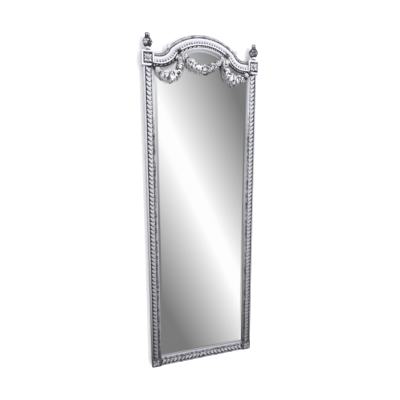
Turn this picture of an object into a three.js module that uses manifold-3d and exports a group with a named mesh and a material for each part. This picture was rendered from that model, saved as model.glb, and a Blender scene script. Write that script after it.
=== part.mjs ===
// A tall wall mirror in a narrow silver-leafed frame: two stiles and a bottom rail with a
// laurel band, square corner blocks, an arched crest moulding with a shoulder on each side,
// bud finials, and three flower garlands that hang from knots in front of the bevelled glass.
//
// Millimetres. X runs across, Z up, and the mirror faces -Y. While it is drawn, Y = 0 is the
// front plane of the stiles and Y grows towards the wall; the last step centres the depth.
// Paired pieces are drawn once on the +X side and mirrored for the -X side.
import * as THREE from 'three';
import { mergeVertices } from 'three/addons/utils/BufferGeometryUtils.js';
import Module from 'manifold-3d';

const wasm = await Module();
wasm.setup();

// ------------------------------------------------------------------ driving sizes: frame
const FRAME_HEIGHT = 1800; // underside of the rail to the top of the arch
const FRAME_WIDTH = 610; // outside to outside of the stiles
const FRAME_DEPTH = 28; // front plane of the stiles to their back
const CREST_RISE = 99; // from the tops of the corner blocks to the top of the arch
const JOINT_GAP = 0.3; // glue line or air between two neighbouring pieces
const OVERSHOOT = 1; // how far a cutting shape runs past the face it cuts

// Section of the stiles and the rail, from the outer edge in
const OUTER_FILLET = 9;
const BAND_WIDTH = 32; // the sunk channel that holds the laurel band
const INNER_FILLET = 7.5;
const SIGHT_SLOPE = 6; // the bevelled edge next to the glass
const BAND_RECESS = 4;
const BAND_WALL = 1; // lean of the channel's walls
const SIGHT_DROP = 8; // how far the sight edge lies behind the front plane
const SIGHT_LIP = 4; // thickness of the lip in front of the glass
const REBATE_WIDTH = 10;
const EDGE_ROUND = 2;

// Laurel band pressed in the channel
const LEAF_HEIGHT = 4.2;
const LEAF_PITCH = 22;
const LEAF_LEAN = 6; // how far the tips run ahead at the sides

// Corner blocks
const BLOCK_OVERHANG = 6; // past the stile's outer edge
const BLOCK_HEIGHT = 69;
const BLOCK_PROUD = 10; // in front of the stiles
const BLOCK_BORDER = 8;
const BLOCK_SINK = 4; // depth of the square panel
const FOOT_BLOCK_PROUD = 1.5;
const FOOT_CORNER_ROUND = 8;
const ROSETTE_RADIUS = 22;
const ROSETTE_HEIGHT = 7;
const FOOT_LEAF_MARGIN = 4; // from the leaf's tips to the foot block's edge
const FOOT_LEAF_HEIGHT = 5;

// Crest: a shoulder curve, then the arch, both with one section
const SHOULDER_DROP = 6.5; // from the block's top to the moulding's outer edge
const SHOULDER_RUN = 23; // straight run beside the block
const SHOULDER_RADIUS = 49;
const SHOULDER_TURN = 71; // degrees, from level to the break
const BEAD_WIDTH = 13;
const BEAD_PROUD = 1;
const QUIRK_WIDTH = 3;
const QUIRK_DEPTH = 3.5;
const QUIRK_GROOVE = 1; // the groove's floor below the bead's foot
const COVE_WIDTH = 17;
const COVE_SINK = 1.5; // where the cove starts, behind the front plane
const COVE_PROUD = 6;
const COVE_SWEEP = 0.96; // share of a full quarter round
const DART_WIDTH = 12; // channel of the small leaf-and-dart strip
const DART_SINK = 2.5;
const CREST_FILLET = 7;
const CREST_PROUD = 9.5; // the bright fillet, the foremost line of the moulding
const RIBBON_WIDTH = 9;
const RIBBON_GROUND = -1; // the ribbon channel's floor
const CREST_SIGHT = 5;
const CREST_SIGHT_PROUD = 4.5;
const CHANNEL_WALL = 0.6; // lean of the walls of the crest's two channels
const DART_PITCH = 15.5;
const DART_HEIGHT = 3.2;
const RIBBON_PITCH = 14;
const RIBBON_HEIGHT = 4;

// Joinery inside
const TENON_LENGTH = 18;
const TENON_WIDTH = 20;
const TENON_THICK = 8;
const TENON_BACK = 5; // from the frame's back to the tenon
const TENON_ROOT = 5; // how far a tenon is rooted in its own piece

// Finials
const PEG_RADIUS = 4;
const PEG_LENGTH = 14;
const COLLAR_RADIUS = 14;
const COLLAR_HEIGHT = 5;
const NECK_RADIUS = 9;
const STEM_HEIGHT = 16; // block to bud
const BUD_RADIUS = 25;
const BUD_HEIGHT = 43;
const CAP_RADIUS = 12.5;
const CAP_HEIGHT = 22;
const BUD_LOBES = 8;

// Knots, ears and garlands
const KNOT_RADIUS = 11;
const KNOT_HEIGHT = 8;
const KNOT_ANGLE = 36; // degrees from the top of the arch
const CORNER_KNOT_RADIUS = 10;
const CORNER_KNOT_HEIGHT = 15;
const CORNER_KNOT_ASIDE = 1.5; // from the sight edge to the knot's middle
const CORNER_KNOT_DROP = 7; // from the block's underside to the knot's middle
const RIBBON_CLEARANCE = 2; // between the corner knot and the end of the shoulder's ribbon
const EAR_RADIUS = 9.5;
const EAR_THICK = 7.5;
const GARLAND_END_RADIUS = 7;
const GARLAND_RADIUS = 16;
const GARLAND_FRONT = 26; // foremost blossom, from the stiles' front plane
const BLOSSOM_SETBACK = 8; // how much further back the blossoms at the ends lie
const LEAF_STAGGER = 2; // difference in depth between neighbouring leaves
const MIDDLE_LEAVES = 16;
const MIDDLE_BLOSSOMS = 7;
const SIDE_LEAVES = 14;
const SIDE_BLOSSOMS = 6;
const MIDDLE_DROP = 98; // pull of the middle garland's curve below its knots
const MIDDLE_SPREAD = 70; // pull towards the middle
const SIDE_OUTER_DROP = 92;
const SIDE_OUTER_PULL = 34;
const SIDE_INNER_DROP = 148;
const SIDE_INNER_PULL = 28;

// Glass and back
const GLASS_THICK = 5;
const GLASS_PLAY = 1.5; // between the glass edge and the rebate
const BEVEL_SHOWN = 13; // width of the bevel that shows
const BEVEL_DEPTH = 1.5;
const BOARD_THICK = 6;
const CLIP_THICK = 1.5;
const CLIP_WIDTH = 20;
const CLIP_FOOT = 16;
const CLIP_TONGUE = 16;
const CLIP_LEG = 3; // from the rebate's edge to the leg
const CLIP_HOLE_IN = 9;
const LOWER_CLIP_RISE = 330; // above the frame's underside
const UPPER_CLIP_DROP = 452; // below the corner block

// Screws, hangers and wall bumpers
const SCREW_RADIUS = 1.75;
const SCREW_HEAD_RADIUS = 3.6;
const SCREW_HEAD = 2;
const SCREW_LENGTH = 14;
const SCREW_POINT = 4; // length of the tapered tip
const HOLE_PLAY = 0.35;
const HANGER_DROP = 132; // from the corner block's underside to the ring's axis
const STRAP_WIDTH = 18;
const STRAP_LENGTH = 54;
const STRAP_THICK = 1.6;
const LOOP_BORE = 2.1;
const LOOP_TURN = 300; // degrees that the strap's end is rolled over
const RING_WIRE = 1.5;
const RING_HALF_WIDTH = 13.5;
const RING_DROP = 20;
const RING_CORNER = 3;
const STRAP_HOLES = [30, 46]; // below the ring's axis
const BUMPER_RADIUS = 8;
const BUMPER_THICK = 8;

// ------------------------------------------------------------------ values that follow
const STILE_WIDTH = OUTER_FILLET + BAND_WIDTH + INNER_FILLET + SIGHT_SLOPE;
const FRAME_HALF = FRAME_WIDTH / 2;
const SIGHT_HALF = FRAME_HALF - STILE_WIDTH;
const REBATE_FRONT = SIGHT_DROP + SIGHT_LIP;
const BLOCK_TOP = FRAME_HEIGHT - CREST_RISE;
const BLOCK_BOTTOM = BLOCK_TOP - BLOCK_HEIGHT;
const BLOCK_WIDTH = STILE_WIDTH + BLOCK_OVERHANG;
const BLOCK_CENTRE = SIGHT_HALF + BLOCK_WIDTH / 2;
const TENON_FRONT = FRAME_DEPTH - TENON_BACK - TENON_THICK;
const TENON_MIDDLE = (STILE_WIDTH - REBATE_WIDTH) / 2; // from the outer edge

const DART_START = BEAD_WIDTH + QUIRK_WIDTH + COVE_WIDTH;
const FILLET_START = DART_START + DART_WIDTH;
const RIBBON_START = FILLET_START + CREST_FILLET;
const CREST_SIGHT_START = RIBBON_START + RIBBON_WIDTH;
const CREST_WIDTH = CREST_SIGHT_START + CREST_SIGHT;
const SHOULDER_TOP = BLOCK_TOP - SHOULDER_DROP;
const SHOULDER_CENTRE = [SIGHT_HALF - SHOULDER_RUN, SHOULDER_TOP + SHOULDER_RADIUS];
const TURN = THREE.MathUtils.degToRad(SHOULDER_TURN);
const BREAK = [
  SHOULDER_CENTRE[0] - SHOULDER_RADIUS * Math.sin(TURN),
  SHOULDER_CENTRE[1] - SHOULDER_RADIUS * Math.cos(TURN),
];
const ARCH_RISE = FRAME_HEIGHT - BREAK[1];
const ARCH_RADIUS = (BREAK[0] ** 2 + ARCH_RISE ** 2) / (2 * ARCH_RISE);
const ARCH_CENTRE = [0, FRAME_HEIGHT - ARCH_RADIUS];
const SIGHT_TOP = SHOULDER_TOP - CREST_WIDTH;
const DART_FLOOR = DART_SINK - COVE_PROUD;

const GLASS_FRONT = REBATE_FRONT + JOINT_GAP;
const BOARD_FRONT = GLASS_FRONT + GLASS_THICK + JOINT_GAP;
const BOARD_BACK = BOARD_FRONT + BOARD_THICK;
const BACK_SEAT = FRAME_DEPTH + JOINT_GAP; // where fittings lie on the frame's back
const LOOP_RADIUS = LOOP_BORE + STRAP_THICK;
const RING_AXIS_Y = BACK_SEAT + LOOP_RADIUS;
const HANGER_X = FRAME_HALF - TENON_MIDDLE;
const HANGER_HEIGHT = BLOCK_BOTTOM - HANGER_DROP;
const CLIP_HEIGHTS = { lower: LOWER_CLIP_RISE, upper: BLOCK_BOTTOM - UPPER_CLIP_DROP };

const SHOULDER_STEPS = 8;
const ARCH_STEPS = 20;

// ------------------------------------------------------------------ finishes
const silverLeaf = new THREE.MeshStandardMaterial({ color: 0xb8b9c1, roughness: 0.38, metalness: 0.65 });
const carvedLeaf = new THREE.MeshStandardMaterial({ color: 0x9a9ba3, roughness: 0.45, metalness: 0.6 });
const silvering = new THREE.MeshStandardMaterial({ color: 0xd4d6da, roughness: 0.03, metalness: 1 });
const boardBrown = new THREE.MeshStandardMaterial({ color: 0x7d6242, roughness: 0.85, metalness: 0 });
const zincSteel = new THREE.MeshStandardMaterial({ color: 0xa9abad, roughness: 0.4, metalness: 0.9 });
const rubberBlack = new THREE.MeshStandardMaterial({ color: 0x222224, roughness: 0.9, metalness: 0 });

// ------------------------------------------------------------------ solids and booleans
function turnedOut(geometry) {
  const position = geometry.getAttribute('position');
  const index = geometry.getIndex();
  const order = index ? Array.from(index.array) : Array.from({ length: position.count }, (_, i) => i);
  const a = new THREE.Vector3();
  const b = new THREE.Vector3();
  const c = new THREE.Vector3();
  let volume = 0;
  for (let i = 0; i < order.length; i += 3) {
    a.fromBufferAttribute(position, order[i]);
    b.fromBufferAttribute(position, order[i + 1]);
    c.fromBufferAttribute(position, order[i + 2]);
    volume += a.dot(b.cross(c));
  }
  if (volume < 0) {
    for (let i = 0; i < order.length; i += 3) {
      [order[i + 1], order[i + 2]] = [order[i + 2], order[i + 1]];
    }
  }
  geometry.setIndex(order);
  return geometry;
}

function toSolid(geometry) {
  const bare = geometry.clone();
  bare.deleteAttribute('normal');
  bare.deleteAttribute('uv');
  const merged = turnedOut(mergeVertices(bare, 1e-4));
  const vertProperties = new Float32Array(merged.getAttribute('position').array);
  const triVerts = new Uint32Array(merged.getIndex().array);
  return new wasm.Manifold(new wasm.Mesh({ numProp: 3, vertProperties, triVerts }));
}

function toGeometry(solid) {
  const mesh = solid.getMesh();
  const geometry = new THREE.BufferGeometry();
  geometry.setAttribute('position', new THREE.BufferAttribute(new Float32Array(mesh.vertProperties), 3));
  geometry.setIndex(Array.from(mesh.triVerts));
  return geometry;
}

function joined(...geometries) {
  return toGeometry(geometries.map(toSolid).reduce((all, next) => all.add(next)));
}

function cut(geometry, ...tools) {
  return toGeometry(tools.map(toSolid).reduce((left, tool) => left.subtract(tool), toSolid(geometry)));
}

function mirrored(geometry) {
  return turnedOut(geometry.clone().scale(-1, 1, 1));
}

// ------------------------------------------------------------------ basic forms
// A box given by its lowest and highest corners.
function box(low, high) {
  const size = high.map((value, i) => value - low[i]);
  const geometry = new THREE.BoxGeometry(...size);
  return geometry.translate(...low.map((value, i) => value + size[i] / 2));
}

// A prism: an outline of [a, b] pairs, drawn on two axes and run along the third.
function prism(outline, axisA, axisB, along, from, to) {
  const shape = new THREE.Shape(outline.map(([a, b]) => new THREE.Vector2(a, b)));
  const geometry = new THREE.ExtrudeGeometry(shape, { depth: to - from, bevelEnabled: false });
  geometry.translate(0, 0, from);
  geometry.applyMatrix4(new THREE.Matrix4().makeBasis(axisA, axisB, along));
  return turnedOut(geometry);
}

const X = new THREE.Vector3(1, 0, 0);
const Y = new THREE.Vector3(0, 1, 0);
const Z = new THREE.Vector3(0, 0, 1);

// A skin over rings of points. Open runs get flat ends from the section's own outline.
function loft(rings, section, closed = false) {
  const count = rings[0].length;
  const positions = rings.flat(2);
  const index = [];
  const spans = closed ? rings.length : rings.length - 1;
  for (let r = 0; r < spans; r++) {
    const here = r * count;
    const there = ((r + 1) % rings.length) * count;
    for (let i = 0; i < count; i++) {
      const j = (i + 1) % count;
      index.push(here + i, here + j, there + j, here + i, there + j, there + i);
    }
  }
  if (!closed) {
    const flat = section.map(([a, b]) => new THREE.Vector2(a, b));
    const turn = THREE.ShapeUtils.isClockWise(flat) ? 1 : -1;
    const last = (rings.length - 1) * count;
    for (const [a, b, c] of THREE.ShapeUtils.triangulateShape(flat, [])) {
      if (turn > 0) {
        index.push(a, b, c, last + a, last + c, last + b);
      } else {
        index.push(a, c, b, last + a, last + b, last + c);
      }
    }
  }
  const geometry = new THREE.BufferGeometry();
  geometry.setAttribute('position', new THREE.Float32BufferAttribute(positions, 3));
  geometry.setIndex(index);
  return turnedOut(geometry);
}

// A turned piece on an upright axis: the profile is [radius, height] pairs.
function turned(profile, segments) {
  const points = profile.map(([radius, height]) => new THREE.Vector2(radius, height));
  return turnedOut(new THREE.LatheGeometry(points, segments).rotateX(Math.PI / 2));
}

// A round pin or hole along Y.
function rod(x, z, radius, fromY, toY, segments = 8) {
  const geometry = new THREE.CylinderGeometry(radius, radius, toY - fromY, segments);
  return geometry.translate(x, (fromY + toY) / 2, z);
}

// ------------------------------------------------------------------ plane geometry of the crest
// The upper meeting point of two circles.
function circlesMeet(centreA, radiusA, centreB, radiusB) {
  const gap = Math.hypot(centreB[0] - centreA[0], centreB[1] - centreA[1]);
  const dir = [(centreB[0] - centreA[0]) / gap, (centreB[1] - centreA[1]) / gap];
  const along = (gap * gap + radiusA * radiusA - radiusB * radiusB) / (2 * gap);
  const aside = Math.sqrt(Math.max(radiusA * radiusA - along * along, 0));
  return [centreA[0] + dir[0] * along + dir[1] * aside, centreA[1] + dir[1] * along - dir[0] * aside];
}

// Where a line meets a circle, nearest to the line's start.
function lineMeetsCircle(start, dir, centre, radius, near) {
  const rel = [start[0] - centre[0], start[1] - centre[1]];
  const half = rel[0] * dir[0] + rel[1] * dir[1];
  const root = Math.sqrt(Math.max(half * half - (rel[0] ** 2 + rel[1] ** 2 - radius * radius), 0));
  const reach = [-half - root, -half + root];
  const step = Math.abs(reach[0] - near) < Math.abs(reach[1] - near) ? reach[0] : reach[1];
  return [start[0] + dir[0] * step, start[1] + dir[1] * step];
}

const angleFrom = (centre, point) => Math.atan2(point[1] - centre[1], point[0] - centre[0]);
const shoulderRadius = (width) => SHOULDER_RADIUS + width;
const archRadius = (width) => ARCH_RADIUS - width;

// The mitre between shoulder and arch runs from the outer break to the sight edge's break.
const SIGHT_BREAK = circlesMeet(
  SHOULDER_CENTRE, shoulderRadius(CREST_WIDTH), ARCH_CENTRE, archRadius(CREST_WIDTH),
);
const MITRE_LENGTH = Math.hypot(SIGHT_BREAK[0] - BREAK[0], SIGHT_BREAK[1] - BREAK[1]);
const MITRE = [(SIGHT_BREAK[0] - BREAK[0]) / MITRE_LENGTH, (SIGHT_BREAK[1] - BREAK[1]) / MITRE_LENGTH];
const MITRE_NORMAL = [MITRE[1], -MITRE[0]]; // into the arch

function mitrePoint(centre, radius, width, side) {
  const start = [BREAK[0] + side * MITRE_NORMAL[0], BREAK[1] + side * MITRE_NORMAL[1]];
  return lineMeetsCircle(start, MITRE, centre, radius, width);
}

// A point of the shoulder at a width in from its outer edge, a share of its run and a depth.
function shoulderPoint(width, share, y, startX) {
  const radius = shoulderRadius(width);
  const end = angleFrom(SHOULDER_CENTRE, mitrePoint(SHOULDER_CENTRE, radius, width, -JOINT_GAP / 2));
  const reach = Math.min((startX - SHOULDER_CENTRE[0]) / radius, 0);
  const start = -Math.PI / 2 - Math.asin(reach);
  const sweep = (end > 0 ? end - 2 * Math.PI : end) - start;
  if (share <= 0) {
    return [startX, y, SHOULDER_CENTRE[1] + radius * (reach < 0 ? Math.sin(start) : -1)];
  }
  const angle = start + sweep * Math.max(share, 0);
  return [SHOULDER_CENTRE[0] + radius * Math.cos(angle), y, SHOULDER_CENTRE[1] + radius * Math.sin(angle)];
}

// A point of the arch: share 0 is the right mitre and share 1 the left one.
function archPoint(width, share, y) {
  const radius = archRadius(width);
  const first = angleFrom(ARCH_CENTRE, mitrePoint(ARCH_CENTRE, radius, width, JOINT_GAP / 2));
  const angle = first + (Math.PI - 2 * first) * share;
  return [ARCH_CENTRE[0] + radius * Math.cos(angle), y, ARCH_CENTRE[1] + radius * Math.sin(angle)];
}

// ------------------------------------------------------------------ sections
// [distance in from the outer edge, depth] of the stiles and the rail.
function railSection() {
  const bandEnd = OUTER_FILLET + BAND_WIDTH;
  const filletEnd = bandEnd + INNER_FILLET;
  return [
    [0, EDGE_ROUND],
    [EDGE_ROUND, 0],
    [OUTER_FILLET, 0],
    [OUTER_FILLET + BAND_WALL, BAND_RECESS],
    [bandEnd - BAND_WALL, BAND_RECESS],
    [bandEnd, 0],
    [filletEnd, 0],
    [STILE_WIDTH, SIGHT_DROP],
    [STILE_WIDTH, REBATE_FRONT],
    [STILE_WIDTH - REBATE_WIDTH, REBATE_FRONT],
    [STILE_WIDTH - REBATE_WIDTH, FRAME_DEPTH],
    [0, FRAME_DEPTH],
  ];
}

// The crest moulding; grow swells its front and sight edge, for cutting ornaments to it,
// with its two channels taken as full up to the strips that lie in them.
function crestSection(grow = 0) {
  const coveStart = BEAD_WIDTH + QUIRK_WIDTH;
  const dartGround = DART_FLOOR - (grow > 0 ? DART_HEIGHT + JOINT_GAP : 0);
  const ribbonGround = RIBBON_GROUND - (grow > 0 ? RIBBON_HEIGHT + JOINT_GAP : 0);
  const coveTop = 1 - Math.sqrt(1 - COVE_SWEEP ** 2);
  const points = [];
  for (const share of [0, 0.25, 0.5, 0.75, 1]) {
    const swell = Math.sin(share * Math.PI) * (BEAD_PROUD + QUIRK_DEPTH);
    points.push([share * BEAD_WIDTH, QUIRK_DEPTH - swell]);
  }
  points.push([BEAD_WIDTH + QUIRK_WIDTH / 2, QUIRK_DEPTH + QUIRK_GROOVE]);
  for (const share of [0, 0.35, 0.7, 1]) {
    const rise = (1 - Math.sqrt(1 - (share * COVE_SWEEP) ** 2)) / coveTop;
    points.push([coveStart + share * COVE_WIDTH, COVE_SINK - rise * (COVE_PROUD + COVE_SINK)]);
  }
  points.push([DART_START + CHANNEL_WALL, dartGround]);
  points.push([FILLET_START - CHANNEL_WALL, dartGround]);
  points.push([FILLET_START, -CREST_PROUD]);
  points.push([RIBBON_START, -CREST_PROUD]);
  points.push([RIBBON_START + CHANNEL_WALL, ribbonGround]);
  points.push([CREST_SIGHT_START - CHANNEL_WALL, ribbonGround]);
  points.push([CREST_SIGHT_START, -CREST_SIGHT_PROUD]);
  points.push([CREST_SIGHT_START + CREST_SIGHT / 2, -CREST_SIGHT_PROUD]);
  points.push([CREST_WIDTH, SIGHT_DROP / 2]);
  points.push([CREST_WIDTH, REBATE_FRONT]);
  const swollen = points.map(([width, y]) => [width === CREST_WIDTH ? width + grow : width, y - grow]);
  swollen.push([CREST_WIDTH - REBATE_WIDTH, REBATE_FRONT - grow]);
  swollen.push([CREST_WIDTH - REBATE_WIDTH, FRAME_DEPTH]);
  swollen.push([0, FRAME_DEPTH]);
  return swollen;
}

// ------------------------------------------------------------------ frame members
function stileBody() {
  const section = railSection().map(([width, y]) => [FRAME_HALF - width, y]);
  const low = STILE_WIDTH + JOINT_GAP;
  const high = BLOCK_BOTTOM - JOINT_GAP;
  const body = prism(section, X, Y, Z, low, high);
  const tenonLow = stileTenon(STILE_WIDTH - TENON_LENGTH, low + TENON_ROOT);
  const tenonHigh = stileTenon(high - TENON_ROOT, BLOCK_BOTTOM + TENON_LENGTH);
  const holes = Object.values(CLIP_HEIGHTS).map((z) => clipHole(SIGHT_HALF + REBATE_WIDTH, z));
  const hangerHoles = STRAP_HOLES.map((down) => screwHole(HANGER_X, HANGER_HEIGHT - down));
  return cut(joined(body, tenonLow, tenonHigh), ...holes, ...hangerHoles);
}

function stileTenon(low, high, play = 0) {
  const centre = FRAME_HALF - TENON_MIDDLE;
  return box(
    [centre - TENON_WIDTH / 2 - play, TENON_FRONT - play, low - play],
    [centre + TENON_WIDTH / 2 + play, TENON_FRONT + TENON_THICK + play, high + play],
  );
}

function railTenon(from, to, play = 0) {
  return box(
    [from - play, TENON_FRONT - play, TENON_MIDDLE - TENON_WIDTH / 2 - play],
    [to + play, TENON_FRONT + TENON_THICK + play, TENON_MIDDLE + TENON_WIDTH / 2 + play],
  );
}

function bottomRail() {
  const section = railSection();
  const half = SIGHT_HALF - JOINT_GAP;
  const body = prism(section, Z, Y, X, -half, half);
  const tenon = railTenon(half - TENON_ROOT, SIGHT_HALF + TENON_LENGTH);
  return joined(body, tenon, mirrored(tenon));
}

function footBlock() {
  const outer = FRAME_HALF;
  const round = [];
  for (const turn of [0, 1, 2, 3]) {
    const angle = -Math.PI / 2 + (turn / 3) * (Math.PI / 2);
    round.push([
      outer - FOOT_CORNER_ROUND + FOOT_CORNER_ROUND * Math.cos(angle),
      FOOT_CORNER_ROUND + FOOT_CORNER_ROUND * Math.sin(angle),
    ]);
  }
  const outline = [[SIGHT_HALF, 0], ...round, [outer, STILE_WIDTH], [SIGHT_HALF, STILE_WIDTH]];
  const body = prism(outline, X, Z, Y, -FOOT_BLOCK_PROUD, FRAME_DEPTH);
  const sightNotch = prism(
    [[0, 0], [SIGHT_SLOPE, -SIGHT_DROP - FOOT_BLOCK_PROUD], [0, -SIGHT_DROP - FOOT_BLOCK_PROUD]],
    X, Y, Z, STILE_WIDTH - SIGHT_SLOPE, STILE_WIDTH + OVERSHOOT,
  ).translate(SIGHT_HALF - JOINT_GAP, SIGHT_DROP, 0);
  return cut(
    body,
    sightNotch,
    box(
      [SIGHT_HALF - OVERSHOOT, REBATE_FRONT, STILE_WIDTH - REBATE_WIDTH],
      [SIGHT_HALF + REBATE_WIDTH, FRAME_DEPTH + OVERSHOOT, STILE_WIDTH + OVERSHOOT],
    ),
    stileTenon(STILE_WIDTH - TENON_LENGTH, STILE_WIDTH + OVERSHOOT, JOINT_GAP),
    railTenon(SIGHT_HALF - OVERSHOOT, SIGHT_HALF + TENON_LENGTH, JOINT_GAP),
  );
}

function shoulderTenon(from, to, play = 0) {
  const top = SHOULDER_TOP - BEAD_WIDTH;
  return box(
    [from - play, TENON_FRONT - play, top - TENON_WIDTH - play],
    [to + play, TENON_FRONT + TENON_THICK + play, top + play],
  );
}

function topBlock() {
  const outer = SIGHT_HALF + BLOCK_WIDTH;
  const panel = [SIGHT_HALF + BLOCK_BORDER, outer - BLOCK_BORDER];
  const sunk = box(
    [panel[0], -BLOCK_PROUD - OVERSHOOT, BLOCK_BOTTOM + BLOCK_BORDER],
    [panel[1], -BLOCK_PROUD + BLOCK_SINK, BLOCK_TOP - BLOCK_BORDER],
  );
  const bore = PEG_LENGTH + 2 * OVERSHOOT;
  const peg = new THREE.CylinderGeometry(PEG_RADIUS + JOINT_GAP, PEG_RADIUS + JOINT_GAP, bore, 12)
    .rotateX(Math.PI / 2)
    .translate(BLOCK_CENTRE, 0, BLOCK_TOP + OVERSHOOT - PEG_LENGTH / 2 - JOINT_GAP);
  return cut(
    box([SIGHT_HALF, -BLOCK_PROUD, BLOCK_BOTTOM], [outer, FRAME_DEPTH, BLOCK_TOP]),
    sunk,
    peg,
    box(
      [SIGHT_HALF - OVERSHOOT, REBATE_FRONT, BLOCK_BOTTOM - OVERSHOOT],
      [SIGHT_HALF + REBATE_WIDTH, FRAME_DEPTH + OVERSHOOT, SIGHT_TOP + REBATE_WIDTH],
    ),
    stileTenon(BLOCK_BOTTOM - OVERSHOOT, BLOCK_BOTTOM + TENON_LENGTH, JOINT_GAP),
    shoulderTenon(SIGHT_HALF - OVERSHOOT, SIGHT_HALF + TENON_LENGTH, JOINT_GAP),
  );
}

function shoulderSweep(grow = 0) {
  const section = crestSection(grow);
  const startX = SIGHT_HALF - JOINT_GAP;
  const rings = [section.map(([width, y]) => shoulderPoint(width, 0, y, startX))];
  for (let step = 0; step <= SHOULDER_STEPS; step++) {
    const share = Math.max(step / SHOULDER_STEPS, 1e-6);
    rings.push(section.map(([width, y]) => shoulderPoint(width, share, y, startX)));
  }
  return loft(rings, section);
}

// The tongue that crosses the mitre, lying square to it halfway along.
function mitreTenon(from, to, play = 0) {
  const middle = CREST_WIDTH * 0.45;
  const tongue = new THREE.BoxGeometry(to - from + 2 * play, TENON_THICK + 2 * play, TENON_WIDTH + 2 * play);
  tongue.translate((from + to) / 2, TENON_FRONT + TENON_THICK / 2, 0);
  tongue.rotateY(-Math.atan2(-MITRE_NORMAL[1], -MITRE_NORMAL[0]));
  return tongue.translate(BREAK[0] + MITRE[0] * middle, 0, BREAK[1] + MITRE[1] * middle);
}

function shoulder() {
  const startX = SIGHT_HALF - JOINT_GAP;
  const tenon = shoulderTenon(startX - TENON_ROOT, SIGHT_HALF + TENON_LENGTH - JOINT_GAP);
  const body = joined(shoulderSweep(), tenon);
  return cut(body, mitreTenon(-1, TENON_LENGTH, JOINT_GAP));
}

function archSweep(grow = 0) {
  const section = crestSection(grow);
  const rings = [];
  for (let step = 0; step <= ARCH_STEPS; step++) {
    rings.push(section.map(([width, y]) => archPoint(width, step / ARCH_STEPS, y)));
  }
  return loft(rings, section);
}

function arch() {
  const tenon = mitreTenon(-TENON_ROOT, TENON_LENGTH - JOINT_GAP);
  const clipTop = ARCH_CENTRE[1] + archRadius(CREST_WIDTH - REBATE_WIDTH) + CLIP_HOLE_IN;
  return cut(joined(archSweep(), tenon, mirrored(tenon)), screwHole(0, clipTop));
}

// ------------------------------------------------------------------ pressed ornament strips
// A closed strip whose face rises and falls once a pitch, in leaves that overlap like tiles.
// place(across, along, up) gives each point; across runs from -1 to 1, and both edges lie
// on the ground, so that the strip's back is flat.
function ornamentStrip(place, length, pitch, lean, columns, low, high) {
  const count = Math.max(Math.round(length / pitch), 1);
  const step = length / count;
  const rows = [{ along: 0, lean: 0, heights: low }];
  for (let i = 0; i < count; i++) {
    rows.push({ along: (i + 0.55) * step, lean, heights: high });
    rows.push({ along: (i + 0.75) * step, lean, heights: low });
  }
  rows[rows.length - 1] = { along: length, lean: 0, heights: low };
  const rings = rows.map((row) => {
    return columns.map((across, i) => {
      const ahead = Math.min(row.along + row.lean * Math.abs(across), length);
      return place(across, ahead, row.heights[i]);
    });
  });
  return loft(rings, columns.map((across, i) => [across, low[i]]));
}

const LEAF_COLUMNS = [-1, -0.5, 0, 0.5, 1];
const LEAF_LOW = [0, 0.35, 0.25, 0.35, 0].map((share) => share * LEAF_HEIGHT);
const LEAF_HIGH = [0, 1, 0.6, 1, 0].map((share) => share * LEAF_HEIGHT);

function stileBand() {
  const middle = FRAME_HALF - OUTER_FILLET - BAND_WIDTH / 2;
  const half = BAND_WIDTH / 2 - BAND_WALL - JOINT_GAP;
  const low = STILE_WIDTH + 2 * JOINT_GAP;
  const length = BLOCK_BOTTOM - 2 * JOINT_GAP - low;
  const ground = BAND_RECESS - JOINT_GAP;
  const place = (across, along, up) => [middle + across * half, ground - up, low + along];
  return ornamentStrip(place, length, LEAF_PITCH, LEAF_LEAN, LEAF_COLUMNS, LEAF_LOW, LEAF_HIGH);
}

function railBand() {
  const middle = OUTER_FILLET + BAND_WIDTH / 2;
  const half = BAND_WIDTH / 2 - BAND_WALL - JOINT_GAP;
  const end = SIGHT_HALF - 2 * JOINT_GAP;
  const ground = BAND_RECESS - JOINT_GAP;
  const place = (across, along, up) => [end - along, ground - up, middle + across * half];
  return ornamentStrip(place, 2 * end, LEAF_PITCH, LEAF_LEAN, LEAF_COLUMNS, LEAF_LOW, LEAF_HIGH);
}

const STRIP_COLUMNS = [-1, 0, 1];
const DART_LOW = [0, 0.5, 0].map((share) => share * DART_HEIGHT);
const DART_HIGH = [0, 1, 0].map((share) => share * DART_HEIGHT);
const RIBBON_LOW = [0, 0.4, 0].map((share) => share * RIBBON_HEIGHT);
const RIBBON_HIGH = [0, 1, 0].map((share) => share * RIBBON_HEIGHT);

// Strips in the crest's channels: start is the channel's edge, floor its ground.
const DART_STRIP = { start: DART_START, width: DART_WIDTH, floor: DART_FLOOR };
const RIBBON_STRIP = { start: RIBBON_START, width: RIBBON_WIDTH, floor: RIBBON_GROUND };

function stripHalf(strip) {
  return strip.width / 2 - CHANNEL_WALL - JOINT_GAP;
}

function archStrip(strip, pitch, low, high, fromAngle) {
  const half = stripHalf(strip);
  const middle = strip.start + strip.width / 2;
  const radius = archRadius(middle);
  const length = radius * (Math.PI - 2 * fromAngle);
  const place = (across, along, up) => {
    const angle = fromAngle + along / radius;
    const out = archRadius(middle + across * half);
    return [out * Math.cos(angle), strip.floor - JOINT_GAP - up, ARCH_CENTRE[1] + out * Math.sin(angle)];
  };
  return ornamentStrip(place, length, pitch, 0, STRIP_COLUMNS, low, high);
}

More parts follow.
